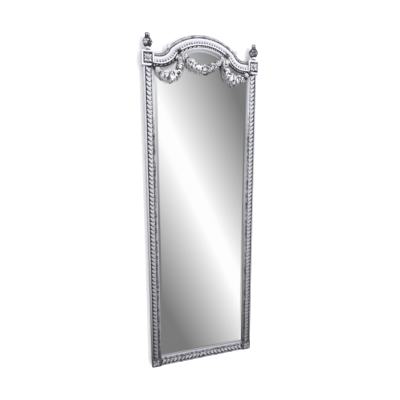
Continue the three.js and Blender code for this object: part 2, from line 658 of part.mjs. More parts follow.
function shoulderStrip(strip, pitch, low, high, startX) {
  const half = stripHalf(strip);
  const middle = strip.start + strip.width / 2;
  const radius = shoulderRadius(middle);
  const sweeps = [middle - half, middle + half].map((width) => {
    const last = mitrePoint(SHOULDER_CENTRE, shoulderRadius(width), width, -2 * JOINT_GAP);
    const end = angleFrom(SHOULDER_CENTRE, last);
    return -Math.PI / 2 - (end > 0 ? end - 2 * Math.PI : end);
  });
  const sweep = Math.min(...sweeps);
  const run = Math.max(startX - SHOULDER_CENTRE[0], 0);
  const length = run + radius * sweep;
  const place = (across, along, up) => {
    const out = shoulderRadius(middle + across * half);
    const y = strip.floor - JOINT_GAP - up;
    if (along <= run) {
      return [startX - along, y, SHOULDER_CENTRE[1] - out];
    }
    const angle = -Math.PI / 2 - (along - run) / radius;
    return [SHOULDER_CENTRE[0] + out * Math.cos(angle), y, SHOULDER_CENTRE[1] + out * Math.sin(angle)];
  };
  return ornamentStrip(place, length, pitch, 0, STRIP_COLUMNS, low, high);
}

// The angle at which a strip of the arch stops, just short of the mitre on both its edges.
function archStripStart(strip) {
  const middle = strip.start + strip.width / 2;
  const edges = [middle - stripHalf(strip), middle + stripHalf(strip)];
  return Math.max(...edges.map((width) => angleFrom(
    ARCH_CENTRE, mitrePoint(ARCH_CENTRE, archRadius(width), width, 2 * JOINT_GAP),
  )));
}

// ------------------------------------------------------------------ carved pieces
// A flower or leaf rosette with its back at Y = 0 and its face towards -Y.
function rosette(radius, height, petals, notch, eye, perPetal = 3) {
  const rows = [
    { size: 1, rise: 0, wave: notch },
    { size: 1, rise: 0.3, wave: notch },
    { size: 0.72, rise: 0.85, wave: notch * 0.7 },
    { size: 0.42, rise: 0.5, wave: notch * 0.3 },
    { size: eye, rise: 0.62, wave: 0 },
    { size: eye * 0.6, rise: 1, wave: 0 },
  ];
  const count = petals * perPetal;
  const rings = rows.map(({ size, rise, wave }) => {
    const ring = [];
    for (let i = 0; i < count; i++) {
      const angle = (i / count) * 2 * Math.PI;
      const lobe = 1 - wave * (0.5 - 0.5 * Math.cos(angle * petals));
      ring.push([
        Math.cos(angle) * radius * size * lobe,
        -height * rise,
        Math.sin(angle) * radius * size * lobe,
      ]);
    }
    return ring;
  });
  return loft(rings, rings[0].map(([x, , z]) => [x, z]));
}

function blockRosette() {
  const seat = -BLOCK_PROUD + BLOCK_SINK - JOINT_GAP;
  return rosette(ROSETTE_RADIUS, ROSETTE_HEIGHT, 8, 0.3, 0.2, 2)
    .translate(BLOCK_CENTRE, seat, BLOCK_TOP - BLOCK_HEIGHT / 2);
}

function footLeaf() {
  const reach = STILE_WIDTH / 2 - FOOT_LEAF_MARGIN;
  return rosette(reach, FOOT_LEAF_HEIGHT, 5, 0.35, 0.16)
    .translate(FRAME_HALF - STILE_WIDTH / 2, -FOOT_BLOCK_PROUD - JOINT_GAP, STILE_WIDTH / 2);
}

function finialStem() {
  const profile = [
    [0, -PEG_LENGTH],
    [PEG_RADIUS, -PEG_LENGTH],
    [PEG_RADIUS, JOINT_GAP],
    [COLLAR_RADIUS * 0.9, JOINT_GAP],
    [COLLAR_RADIUS, COLLAR_HEIGHT * 0.5],
    [COLLAR_RADIUS * 0.85, COLLAR_HEIGHT],
    [NECK_RADIUS * 1.1, COLLAR_HEIGHT * 1.3],
    [NECK_RADIUS, STEM_HEIGHT * 0.65],
    [NECK_RADIUS * 1.2, STEM_HEIGHT],
    [0, STEM_HEIGHT],
  ];
  return turned(profile, 12).translate(BLOCK_CENTRE, 0, BLOCK_TOP);
}

// The carved bud: rows of scales on a round body, closed by a blunt cap.
function finialBud() {
  const rows = [
    [0.46, 0], [0.78, 0.14], [0.96, 0.36], [1, 0.58], [0.88, 0.82], [0.52, 1],
  ].map(([out, up]) => [out * BUD_RADIUS, up * BUD_HEIGHT]);
  const crown = [
    [1, 0.15], [0.98, 0.55], [0.82, 0.88], [0.42, 1],
  ].map(([out, up]) => [out * CAP_RADIUS, BUD_HEIGHT + up * CAP_HEIGHT]);
  const around = BUD_LOBES * 2;
  const rings = [...rows, ...crown].map(([out, up], row) => {
    const ring = [];
    for (let i = 0; i < around; i++) {
      const angle = (i / around) * 2 * Math.PI;
      const lobe = 1 - 0.13 * ((i + row) % 2);
      ring.push([Math.cos(angle) * out * lobe, Math.sin(angle) * out * lobe, up]);
    }
    return ring;
  });
  return loft(rings, rings[0].map(([x, y]) => [x, y]))
    .translate(BLOCK_CENTRE, 0, BLOCK_TOP + STEM_HEIGHT + JOINT_GAP);
}

// Knots: one on each end of the arch's fillet, one under each top block.
const KNOT_TURN = THREE.MathUtils.degToRad(KNOT_ANGLE);
const KNOT_REACH = archRadius(RIBBON_START);
const ARCH_KNOT = [KNOT_REACH * Math.sin(KNOT_TURN), ARCH_CENTRE[1] + KNOT_REACH * Math.cos(KNOT_TURN)];
const CORNER_KNOT = [SIGHT_HALF + CORNER_KNOT_ASIDE, BLOCK_BOTTOM - CORNER_KNOT_DROP];

function archKnot() {
  return rosette(KNOT_RADIUS, KNOT_HEIGHT, 5, 0.25, 0.3)
    .translate(ARCH_KNOT[0], -CREST_PROUD - JOINT_GAP, ARCH_KNOT[1]);
}

// The corner knot is scribed to the stile, the block and the end of the shoulder.
function cornerKnot() {
  const body = rosette(CORNER_KNOT_RADIUS, CORNER_KNOT_HEIGHT, 5, 0.25, 0.3)
    .translate(CORNER_KNOT[0], SIGHT_DROP, CORNER_KNOT[1]);
  const stile = railSection().map(([width, y]) => [FRAME_HALF - width, y]);
  const grownStile = prism(stile, X, Y, Z, 0, BLOCK_BOTTOM).translate(-JOINT_GAP, -JOINT_GAP, 0);
  const grownBlock = box(
    [SIGHT_HALF - JOINT_GAP, -BLOCK_PROUD - JOINT_GAP, BLOCK_BOTTOM - JOINT_GAP],
    [FRAME_HALF, FRAME_DEPTH, BLOCK_TOP],
  );
  return cut(body, grownStile, grownBlock, shoulderSweep(JOINT_GAP).translate(0, 0, -JOINT_GAP));
}

// The ear: a small scroll at the break of the moulding's outer edge.
function ear() {
  const outline = [];
  const turns = 16;
  for (let i = 0; i < turns; i++) {
    const angle = (i / turns) * 2 * Math.PI;
    const grow = 1 + 0.35 * Math.max(Math.cos(angle - Math.PI * 0.75), 0) ** 3;
    outline.push([Math.cos(angle) * EAR_RADIUS * grow, Math.sin(angle) * EAR_RADIUS * grow]);
  }
  const front = -BEAD_PROUD - JOINT_GAP;
  const disc = prism(outline, X, Z, Y, front - EAR_THICK * 0.6, front);
  const eye = prism(outline.map(([a, b]) => [a * 0.45, b * 0.45]), X, Z, Y, front - EAR_THICK, front - 1);
  const lift = EAR_RADIUS * 0.42;
  return joined(disc, eye).translate(BREAK[0] - lift * 0.55, 0, BREAK[1] + lift * 0.85);
}

// ------------------------------------------------------------------ garlands
// Leaves and blossoms round a tapering stem that hangs in a curve between two knots.
function garland(curve, leaves, blossoms) {
  const sections = 10;
  const sides = 7;
  const thickness = (share) => {
    const swell = Math.sin(share * Math.PI) ** 0.7;
    return GARLAND_END_RADIUS + (GARLAND_RADIUS - GARLAND_END_RADIUS) * swell;
  };
  const frameAt = (share) => {
    const centre = curve.getPoint(share);
    const along = curve.getTangent(share);
    return { centre, along, across: new THREE.Vector2(-along.y, along.x) };
  };
  const middleY = -GARLAND_RADIUS * 0.35;
  const flatten = 0.75;
  const rings = [];
  for (let s = 0; s <= sections; s++) {
    const share = s / sections;
    const { centre, across } = frameAt(share);
    const radius = thickness(share) * 0.8;
    const ring = [];
    for (let i = 0; i < sides; i++) {
      const angle = (i / sides) * 2 * Math.PI;
      const side = Math.cos(angle) * radius;
      ring.push([
        centre.x + across.x * side,
        middleY + Math.sin(angle) * radius * flatten,
        centre.y + across.y * side,
      ]);
    }
    rings.push(ring);
  }
  const stem = loft(rings, rings[0].map(([, y], i) => [Math.cos((i / sides) * 2 * Math.PI), y]));
  const pieces = [stem];
  for (let i = 0; i < leaves; i++) {
    const share = (i + 0.5) / leaves;
    const { centre, along, across } = frameAt(share);
    const side = i % 2 ? 1 : -1;
    const radius = thickness(share);
    const leaf = new THREE.OctahedronGeometry(1).scale(radius * 0.75, radius * 0.3, radius * 0.32);
    const outward = across.clone().multiplyScalar(side).addScaledVector(along, side * 0.6).normalize();
    leaf.rotateY(-Math.atan2(outward.y, outward.x));
    const reach = radius * 0.75;
    const lift = (i % 3) * LEAF_STAGGER;
    leaf.translate(centre.x + outward.x * reach, middleY - lift, centre.y + outward.y * reach);
    pieces.push(leaf);
  }
  for (let i = 0; i < blossoms; i++) {
    const share = (i + 0.5) / blossoms;
    const { centre, across } = frameAt(share);
    const radius = thickness(share) * (i % 2 ? 0.6 : 0.72);
    const front = -GARLAND_FRONT + radius + (1 - Math.sin(share * Math.PI)) * BLOSSOM_SETBACK;
    const aside = (i % 2 ? 1 : -1) * thickness(share) * 0.2;
    const blossom = new THREE.IcosahedronGeometry(radius, 0).rotateX(0.4 * i).rotateZ(0.9 * i);
    blossom.translate(centre.x + across.x * aside, front, centre.y + across.y * aside);
    pieces.push(blossom);
  }
  return joined(...pieces);
}

// Where two garlands meet at a knot they part along a line halfway between their ways down.
function partingTool(side) {
  const reach = FRAME_WIDTH;
  const middleWay = new THREE.Vector2(-MIDDLE_SPREAD, -MIDDLE_DROP).normalize();
  const sideWay = new THREE.Vector2(-SIDE_INNER_PULL, -SIDE_INNER_DROP).normalize();
  const way = middleWay.add(sideWay);
  const from = side > 0 ? -JOINT_GAP / 2 : -reach;
  const tool = box([from, -reach, -reach], [from + reach + JOINT_GAP / 2, reach, reach]);
  return tool.rotateY(Math.atan2(way.x, way.y) - Math.PI).translate(ARCH_KNOT[0], 0, ARCH_KNOT[1]);
}

// Hung garlands lie on the glass and are cut round the mouldings and knots that they meet.
function seatGarland(body, ...extra) {
  const glass = box(
    [-FRAME_HALF, GLASS_FRONT - JOINT_GAP, 0],
    [FRAME_HALF, GLASS_FRONT + FRAME_DEPTH, FRAME_HEIGHT],
  );
  const shoulderTool = shoulderSweep(JOINT_GAP).translate(0, 0, -JOINT_GAP);
  const stile = railSection().map(([width, y]) => [FRAME_HALF - width, y]);
  const stileTool = prism(stile, X, Y, Z, 0, BLOCK_BOTTOM).translate(-JOINT_GAP, -JOINT_GAP, 0);
  const knots = [[ARCH_KNOT, KNOT_RADIUS], [CORNER_KNOT, CORNER_KNOT_RADIUS]].map(
    ([[x, z], radius]) => rod(x, z, radius + JOINT_GAP, -2 * GARLAND_FRONT, FRAME_DEPTH, 20),
  );
  const sided = [shoulderTool, stileTool, ...knots];
  const tools = [glass, archSweep(JOINT_GAP), ...sided, ...sided.map(mirrored), ...extra];
  const pieces = tools.map(toSolid).reduce((left, tool) => left.subtract(tool), toSolid(body));
  const largest = pieces.decompose().sort((a, b) => b.volume() - a.volume())[0];
  return toGeometry(largest);
}

function middleGarland() {
  const curve = new THREE.CubicBezierCurve(
    new THREE.Vector2(-ARCH_KNOT[0], ARCH_KNOT[1]),
    new THREE.Vector2(-ARCH_KNOT[0] + MIDDLE_SPREAD, ARCH_KNOT[1] - MIDDLE_DROP),
    new THREE.Vector2(ARCH_KNOT[0] - MIDDLE_SPREAD, ARCH_KNOT[1] - MIDDLE_DROP),
    new THREE.Vector2(ARCH_KNOT[0], ARCH_KNOT[1]),
  );
  const parting = partingTool(1);
  return seatGarland(garland(curve, MIDDLE_LEAVES, MIDDLE_BLOSSOMS), parting, mirrored(parting));
}

function sideGarland() {
  const curve = new THREE.CubicBezierCurve(
    new THREE.Vector2(CORNER_KNOT[0], CORNER_KNOT[1]),
    new THREE.Vector2(CORNER_KNOT[0] - SIDE_OUTER_PULL, CORNER_KNOT[1] - SIDE_OUTER_DROP),
    new THREE.Vector2(ARCH_KNOT[0] - SIDE_INNER_PULL, ARCH_KNOT[1] - SIDE_INNER_DROP),
    new THREE.Vector2(ARCH_KNOT[0], ARCH_KNOT[1]),
  );
  return seatGarland(garland(curve, SIDE_LEAVES, SIDE_BLOSSOMS), partingTool(-1));
}

// ------------------------------------------------------------------ glass and backing board
// The outline of the sight opening, drawn in by inset (or let out where inset is negative).
function sightOutline(inset) {
  const side = SIGHT_HALF - inset;
  const shoulderOut = shoulderRadius(CREST_WIDTH + inset);
  const archOut = archRadius(CREST_WIDTH + inset);
  const corner = circlesMeet(SHOULDER_CENTRE, shoulderOut, ARCH_CENTRE, archOut);
  const reach = Math.min((side - SHOULDER_CENTRE[0]) / shoulderOut, 0);
  const start = -Math.PI / 2 - Math.asin(reach);
  const end = angleFrom(SHOULDER_CENTRE, corner);
  const sweep = (end > 0 ? end - 2 * Math.PI : end) - start;
  const right = [[side, STILE_WIDTH + inset], [side, SHOULDER_CENTRE[1] + shoulderOut * Math.sin(start)]];
  for (let step = 0; step < SHOULDER_STEPS; step++) {
    const angle = start + (sweep * step) / SHOULDER_STEPS;
    right.push([
      SHOULDER_CENTRE[0] + shoulderOut * Math.cos(angle) - (step === 0 ? 1e-3 : 0),
      SHOULDER_CENTRE[1] + shoulderOut * Math.sin(angle),
    ]);
  }
  const first = angleFrom(ARCH_CENTRE, corner);
  const top = [];
  for (let step = 0; step <= ARCH_STEPS; step++) {
    const angle = first + ((Math.PI - 2 * first) * step) / ARCH_STEPS;
    top.push([archOut * Math.cos(angle), ARCH_CENTRE[1] + archOut * Math.sin(angle)]);
  }
  const left = right.map(([x, z]) => [-x, z]).reverse();
  return [...right, ...top, ...left];
}

function mirrorGlass() {
  const edge = sightOutline(GLASS_PLAY - REBATE_WIDTH);
  const flat = sightOutline(BEVEL_SHOWN);
  const ring = (outline, y) => outline.map(([x, z]) => [x, y, z]);
  const rings = [
    ring(edge, GLASS_FRONT + GLASS_THICK),
    ring(edge, GLASS_FRONT + BEVEL_DEPTH),
    ring(flat, GLASS_FRONT),
  ];
  return loft(rings, edge);
}

function backingBoard() {
  return prism(sightOutline(GLASS_PLAY - REBATE_WIDTH), X, Z, Y, BOARD_FRONT, BOARD_BACK);
}

// ------------------------------------------------------------------ fixings
function screwHole(x, z) {
  return rod(x, z, SCREW_RADIUS + HOLE_PLAY, BACK_SEAT - SCREW_LENGTH - 1, FRAME_DEPTH + 1);
}

function clipHole(rebateX, z) {
  return screwHole(rebateX + CLIP_HOLE_IN, z);
}

// A pan-head screw driven in from the back, its head on a plate of the given thickness.
function screw(x, z, plate) {
  const profile = [
    [0, -SCREW_LENGTH],
    [SCREW_RADIUS, -SCREW_LENGTH + SCREW_POINT],
    [SCREW_RADIUS, 0],
    [SCREW_HEAD_RADIUS, 0],
    [SCREW_HEAD_RADIUS, SCREW_HEAD * 0.45],
    [SCREW_HEAD_RADIUS * 0.6, SCREW_HEAD],
    [0, SCREW_HEAD],
  ];
  const seat = BACK_SEAT + plate + JOINT_GAP;
  return turned(profile, 8).rotateX(-Math.PI / 2).translate(x, seat, z);
}

// An offset clip: its foot is screwed to the frame's back and its tongue holds the board.
// It is drawn with the rebate's edge at the origin and outward along +X.
function offsetClip() {
  const foot = BACK_SEAT;
  const tongue = BOARD_BACK + JOINT_GAP;
  const outline = [
    [CLIP_FOOT, foot],
    [CLIP_FOOT, foot + CLIP_THICK],
    [-CLIP_LEG - CLIP_THICK, foot + CLIP_THICK],
    [-CLIP_LEG - CLIP_THICK, tongue + CLIP_THICK],
    [-CLIP_LEG - CLIP_TONGUE, tongue + CLIP_THICK],
    [-CLIP_LEG - CLIP_TONGUE, tongue],
    [-CLIP_LEG, tongue],
    [-CLIP_LEG, foot],
  ];
  const body = prism(outline, X, Y, Z, -CLIP_WIDTH / 2, CLIP_WIDTH / 2);
  return cut(body, rod(CLIP_HOLE_IN, 0, SCREW_RADIUS + HOLE_PLAY, foot - 1, foot + CLIP_THICK + 1));
}

// The hanger's strap: a steel strip rolled over at its top into a loop for the ring.
function hangerStrap() {
  const outline = [
    [BACK_SEAT, HANGER_HEIGHT - STRAP_LENGTH],
    [BACK_SEAT, HANGER_HEIGHT],
  ];
  const steps = 14;
  const curl = THREE.MathUtils.degToRad(LOOP_TURN);
  const at = (radius, share) => {
    const angle = Math.PI - curl * share;
    return [RING_AXIS_Y + radius * Math.cos(angle), HANGER_HEIGHT + radius * Math.sin(angle)];
  };
  for (let i = 1; i <= steps; i++) {
    outline.push(at(LOOP_RADIUS, i / steps));
  }
  for (let i = steps; i >= 0; i--) {
    outline.push(at(LOOP_BORE, i / steps));
  }
  outline.push([BACK_SEAT + STRAP_THICK, HANGER_HEIGHT - STRAP_LENGTH]);
  const body = prism(outline, Y, Z, X, -STRAP_WIDTH / 2, STRAP_WIDTH / 2).translate(HANGER_X, 0, 0);
  const holes = STRAP_HOLES.map((down) => rod(
    HANGER_X, HANGER_HEIGHT - down, SCREW_RADIUS + HOLE_PLAY, BACK_SEAT - 1, BACK_SEAT + STRAP_THICK + 1,
  ));
  return cut(body, ...holes);
}

// The D-shaped ring: a straight bar that turns in the strap's loop, and a bow below it.
function hangerRing() {
  const path = [];
  const corner = (centreX, from) => {
    for (const share of [0, 0.5, 1]) {
      const angle = from + share * (Math.PI / 2);
      path.push([centreX + RING_CORNER * Math.cos(angle), -RING_CORNER + RING_CORNER * Math.sin(angle)]);
    }
  };
  corner(RING_HALF_WIDTH - RING_CORNER, 0);
  corner(-RING_HALF_WIDTH + RING_CORNER, Math.PI / 2);
  const bow = 10;
  for (let i = 1; i < bow; i++) {
    const angle = Math.PI + (i / bow) * Math.PI;
    path.push([
      RING_HALF_WIDTH * Math.cos(angle),
      -RING_CORNER + (RING_DROP - RING_CORNER) * Math.sin(angle),
    ]);
  }
  const sides = 8;
  const rings = path.map(([x, z], i) => {
    const before = path[(i + path.length - 1) % path.length];
    const after = path[(i + 1) % path.length];
    const run = new THREE.Vector2(after[0] - before[0], after[1] - before[1]).normalize();
    const ring = [];
    for (let s = 0; s < sides; s++) {
      const angle = ((s + 0.5) / sides) * 2 * Math.PI;
      const out = Math.cos(angle) * RING_WIRE;
      ring.push([
        HANGER_X + x + run.y * out,
        RING_AXIS_Y + Math.sin(angle) * RING_WIRE,
        HANGER_HEIGHT + z - run.x * out,
      ]);
    }
    return ring;
  });
  return loft(rings, null, true);
}

function wallBumper() {
  const profile = [
    [0, 0],
    [BUMPER_RADIUS, 0],
    [BUMPER_RADIUS * 0.8, BUMPER_THICK],
    [0, BUMPER_THICK],
  ];
  return turned(profile, 12).rotateX(-Math.PI / 2).translate(HANGER_X, BACK_SEAT, TENON_MIDDLE);
}

// ------------------------------------------------------------------ assembly
const mirror = new THREE.Group();

function add(group, name, geometry, material) {
  const mesh = new THREE.Mesh(geometry, material);
  mesh.name = name;
  group.add(mesh);
}

// Adds a piece that has a twin on the other side.
function addPair(group, name, geometry, material) {
  add(group, `left_${name}`, mirrored(geometry), material);
  add(group, `right_${name}`, geometry, material);
}

const members = new THREE.Group();
addPair(members, 'stile', stileBody(), silverLeaf);
add(members, 'bottom_rail', bottomRail(), silverLeaf);
addPair(members, 'foot_block', footBlock(), silverLeaf);
addPair(members, 'top_block', topBlock(), silverLeaf);
addPair(members, 'shoulder', shoulder(), silverLeaf);
add(members, 'arch', arch(), silverLeaf);
mirror.add(members);

const ornament = new THREE.Group();
const ribbonStart = Math.PI / 2 - KNOT_TURN + (KNOT_RADIUS + 1) / KNOT_REACH;
addPair(ornament, 'laurel_band', stileBand(), carvedLeaf);
add(ornament, 'bottom_laurel_band', railBand(), carvedLeaf);
add(
  ornament, 'arch_dart_strip',
  archStrip(DART_STRIP, DART_PITCH, DART_LOW, DART_HIGH, archStripStart(DART_STRIP)), carvedLeaf,
);
addPair(
  ornament, 'shoulder_dart_strip',
  shoulderStrip(DART_STRIP, DART_PITCH, DART_LOW, DART_HIGH, SIGHT_HALF - 2 * JOINT_GAP), carvedLeaf,
);
add(
  ornament, 'arch_ribbon',
  archStrip(RIBBON_STRIP, RIBBON_PITCH, RIBBON_LOW, RIBBON_HIGH, ribbonStart), carvedLeaf,
);
addPair(
  ornament, 'shoulder_ribbon',
  shoulderStrip(
    RIBBON_STRIP, RIBBON_PITCH, RIBBON_LOW, RIBBON_HIGH,
    CORNER_KNOT[0] - CORNER_KNOT_RADIUS - CORNER_KNOT_ASIDE - RIBBON_CLEARANCE,
  ), carvedLeaf,
);
addPair(ornament, 'block_rosette', blockRosette(), carvedLeaf);
addPair(ornament, 'foot_leaf', footLeaf(), carvedLeaf);
addPair(ornament, 'finial_stem', finialStem(), silverLeaf);
addPair(ornament, 'finial_bud', finialBud(), carvedLeaf);
addPair(ornament, 'ear', ear(), silverLeaf);
addPair(ornament, 'arch_knot', archKnot(), carvedLeaf);
addPair(ornament, 'corner_knot', cornerKnot(), carvedLeaf);
addPair(ornament, 'garland', sideGarland(), carvedLeaf);
add(ornament, 'middle_garland', middleGarland(), carvedLeaf);
mirror.add(ornament);

const glazing = new THREE.Group();
add(glazing, 'mirror_glass', mirrorGlass(), silvering);
add(glazing, 'backing_board', backingBoard(), boardBrown);
const clip = offsetClip();
const rebateEdge = SIGHT_HALF + REBATE_WIDTH;
for (const [level, height] of Object.entries(CLIP_HEIGHTS)) {
  addPair(glazing, `${level}_clip`, clip.clone().translate(rebateEdge, 0, height), zincSteel);
  addPair(glazing, `${level}_clip_screw`, screw(rebateEdge + CLIP_HOLE_IN, height, CLIP_THICK), zincSteel);
}
const crestEdge = ARCH_CENTRE[1] + archRadius(CREST_WIDTH - REBATE_WIDTH);
add(glazing, 'crest_clip', clip.clone().rotateY(-Math.PI / 2).translate(0, 0, crestEdge), zincSteel);
add(glazing, 'crest_clip_screw', screw(0, crestEdge + CLIP_HOLE_IN, CLIP_THICK), zincSteel);
mirror.add(glazing);

const hanging = new THREE.Group();
addPair(hanging, 'hanger_strap', hangerStrap(), zincSteel);
addPair(hanging, 'hanger_ring', hangerRing(), zincSteel);
STRAP_HOLES.forEach((down, i) => {
  addPair(hanging, `hanger_screw_${i + 1}`, screw(HANGER_X, HANGER_HEIGHT - down, STRAP_THICK), zincSteel);
});
addPair(hanging, 'wall_bumper', wallBumper(), rubberBlack);
mirror.add(hanging);

// The reference point is the middle of the underside, halfway through the overall depth.
const extent = new THREE.Box3().setFromObject(mirror);
mirror.position.y = -(extent.min.y + extent.max.y) / 2;
mirror.updateMatrixWorld(true);

export default mirror;
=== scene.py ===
# %% [markdown]
# # A tall wall mirror in silver leaf
#
# The real object is a narrow gilder's frame: two stiles and a rail with a pressed laurel
# band, corner blocks with bud finials, an arched crest, and three carved garlands that hang
# from knots in front of a bevelled glass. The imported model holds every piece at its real
# size. This lesson dresses it: it loads that model as a fixed frame, then builds the carved
# surfaces and the finishes around it, one piece at a time.

import math

import bmesh
import bpy
import numpy as np
from mathutils import Matrix, Vector


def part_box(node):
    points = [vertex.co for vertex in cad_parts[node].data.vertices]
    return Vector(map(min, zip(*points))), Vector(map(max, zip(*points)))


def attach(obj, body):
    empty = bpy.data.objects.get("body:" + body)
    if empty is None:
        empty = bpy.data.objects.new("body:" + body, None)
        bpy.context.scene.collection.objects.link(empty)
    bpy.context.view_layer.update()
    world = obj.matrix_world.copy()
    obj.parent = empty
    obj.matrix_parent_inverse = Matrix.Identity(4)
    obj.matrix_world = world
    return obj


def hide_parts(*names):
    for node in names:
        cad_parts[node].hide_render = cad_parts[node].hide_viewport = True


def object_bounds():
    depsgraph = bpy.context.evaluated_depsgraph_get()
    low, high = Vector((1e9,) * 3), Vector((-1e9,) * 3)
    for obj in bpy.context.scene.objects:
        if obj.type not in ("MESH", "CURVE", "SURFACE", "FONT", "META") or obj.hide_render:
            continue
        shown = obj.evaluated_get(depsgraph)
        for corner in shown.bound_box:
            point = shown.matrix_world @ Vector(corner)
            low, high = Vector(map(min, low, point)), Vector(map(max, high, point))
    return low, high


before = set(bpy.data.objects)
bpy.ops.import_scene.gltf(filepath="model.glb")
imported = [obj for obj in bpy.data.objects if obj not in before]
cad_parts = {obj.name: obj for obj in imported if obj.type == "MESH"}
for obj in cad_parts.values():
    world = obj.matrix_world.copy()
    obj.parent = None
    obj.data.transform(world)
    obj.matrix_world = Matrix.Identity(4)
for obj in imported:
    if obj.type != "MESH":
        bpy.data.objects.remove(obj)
cad_box = [list(corner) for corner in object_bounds()]

# %% [markdown]
# ## Sizes
#
# A maker takes measures from the piece on the bench, and so does this script: the places of
# the stiles, blocks and knots are read from the frame's boxes. Only what a box can't tell,
# such as the widths inside a moulding, is written again, in millimetres.

# %% Sizes taken from the frame
MM = 0.001
JOINT_GAP = 0.3 * MM

stile_low, stile_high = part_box("right_stile")
block_low, block_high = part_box("right_top_block")
knot_low, knot_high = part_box("right_arch_knot")
glass_low, glass_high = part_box("mirror_glass")

FRONT = stile_low.y  # the stiles' front plane
BACK = stile_high.y
SIGHT_HALF = stile_low.x
FRAME_HALF = stile_high.x
STILE_WIDTH = FRAME_HALF - SIGHT_HALF
FRAME_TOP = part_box("arch")[1].z
BLOCK_BOTTOM, BLOCK_TOP = block_low.z, block_high.z
BLOCK_FRONT = block_low.y
BLOCK_CENTRE = (block_low.x + block_high.x) / 2
ARCH_KNOT = (knot_low + knot_high) / 2
GLASS_FRONT = glass_low.y

# Widths across the mouldings, from the outer edge in
OUTER_FILLET, BAND_WIDTH, BAND_RECESS = 9 * MM, 32 * MM, 4 * MM
BEAD, QUIRK, COVE, DART, CREST_FILLET, RIBBON, SIGHT = (
    width * MM for width in (13, 3, 17, 12, 7, 9, 5)
)
DART_START = BEAD + QUIRK + COVE
FILLET_START = DART_START + DART
RIBBON_START = FILLET_START + CREST_FILLET
SIGHT_START = RIBBON_START + RIBBON
CREST_WIDTH = SIGHT_START + SIGHT

# The crest's plan: a short level run, the shoulder's curve, then the arch
SHOULDER_DROP, SHOULDER_RUN, SHOULDER_RADIUS = 6.5 * MM, 23 * MM, 49 * MM
SHOULDER_TURN = math.radians(71)
SHOULDER_CENTRE = Vector((SIGHT_HALF - SHOULDER_RUN, BLOCK_TOP - SHOULDER_DROP + SHOULDER_RADIUS))
shoulder_way = Vector((math.sin(SHOULDER_TURN), math.cos(SHOULDER_TURN)))
BREAK = SHOULDER_CENTRE - SHOULDER_RADIUS * shoulder_way
ARCH_RISE = FRAME_TOP - BREAK.y
ARCH_RADIUS = (BREAK.x**2 + ARCH_RISE**2) / (2 * ARCH_RISE)
ARCH_CENTRE = Vector((0, FRAME_TOP - ARCH_RADIUS))
CORNER_KNOT = Vector((SIGHT_HALF + 1.5 * MM, BLOCK_BOTTOM - 4 * MM))
print(f"stile {STILE_WIDTH / MM:.1f} mm wide, arch radius {ARCH_RADIUS / MM:.0f} mm")

# %% [markdown]
# ## Camera
#
# The photograph was taken from a little left of the mirror and above its middle, close
# enough for the stiles to converge. A wide lens at that spot gives the same lines.

# %% Camera
LENS, FILM = 25.43, 36  # millimetres
EYE = (-0.4384, -1.47865, 1.1865)
PAN, LOOKING_DOWN, ROLL = -15.898, 8.51, -0.128  # degrees


def placed(name, data):
    """An object for this data, linked to the scene."""
    made = bpy.data.objects.new(name, data)
    bpy.context.scene.collection.objects.link(made)
    return made


def turn(axis, degrees):
    return Matrix.Rotation(math.radians(degrees), 4, axis)


eye = bpy.data.cameras.new("eye")
eye.lens, eye.sensor_width = LENS, FILM
camera = placed("camera", eye)
camera.location = EYE
look = turn("Z", PAN) @ turn("X", 90 - LOOKING_DOWN) @ turn("Z", ROLL)
camera.rotation_euler = look.to_euler()
bpy.context.scene.camera = camera
bpy.context.scene.view_settings.view_transform = "Standard"
print("camera at", [round(value, 3) for value in camera.location])

# %% [markdown]
# ## Node trees written as arithmetic
#
# A finish mixes many small sums: height times noise, one minus a mask. Written node by node
# they can't be read, so `Wire` wraps a socket and lets Python's operators add the Math
# nodes. Every other node comes from `Graph.node`, which takes the node's type, its settings
# and what its sockets are fed with. The same two classes build the Geometry Nodes trees.

# %% Wire and Graph
class Wire:
    """An output socket that can be added, scaled and compared like a number."""

    def __init__(self, graph, socket):
        self.graph = graph
        self.socket = socket

    def math(self, operation, *values):
        settings = {"operation": operation}
        return self.graph.node("ShaderNodeMath", settings, dict(enumerate(values)))

    def __add__(self, other):
        return self.math("ADD", self, other)

    def __sub__(self, other):
        return self.math("SUBTRACT", self, other)

    def __rsub__(self, other):
        return self.math("SUBTRACT", other, self)

    def __mul__(self, other):
        return self.math("MULTIPLY", self, other)

    def __truediv__(self, other):
        return self.math("DIVIDE", self, other)

    def clipped(self):
        return self.math("MINIMUM", self.math("MAXIMUM", self, 0.0), 1.0)

    __radd__ = __add__
    __rmul__ = __mul__


class Graph:
    """A node tree of any kind, and the one way in which nodes are added to it."""

    def __init__(self, tree):
        self.tree = tree

    def feed(self, socket, value):
        if isinstance(value, Wire):
            self.tree.links.new(value.socket, socket)
        else:
            socket.default_value = value

    def node(self, kind, settings=None, inputs=None, output=0):
        made = self.tree.nodes.new(kind)
        for name, value in (settings or {}).items():
            setattr(made, name, value)
        for key, value in (inputs or {}).items():
            self.feed(made.inputs[key], value)
        return Wire(self, made.outputs[output]) if made.outputs else None

    def mixed(self, factor, first, second):
        """A colour between first and second."""
        settings = {"data_type": "RGBA"}
        return self.node("ShaderNodeMix", settings, {0: factor, 6: first, 7: second}, 2)

    def noise(self, place, scale, detail=3.0, roughness=0.55):
        inputs = {"Vector": place, "Scale": scale, "Detail": detail, "Roughness": roughness}
        return self.node("ShaderNodeTexNoise", None, inputs)


print("Wire and Graph are ready")

# %% [markdown]
# ## A finish from start to end
#
# Every finish here starts from an empty material and ends in one Principled shader, with
# a bump where the surface is rough. These helpers hold that frame, so that each finish
# below only says what is its own.

# %% Materials
def new_material(name):
    """A material with an empty tree, and its graph."""
    material = bpy.data.materials.new(name)
    material.use_nodes = True
    material.node_tree.nodes.clear()
    return material, Graph(material.node_tree)


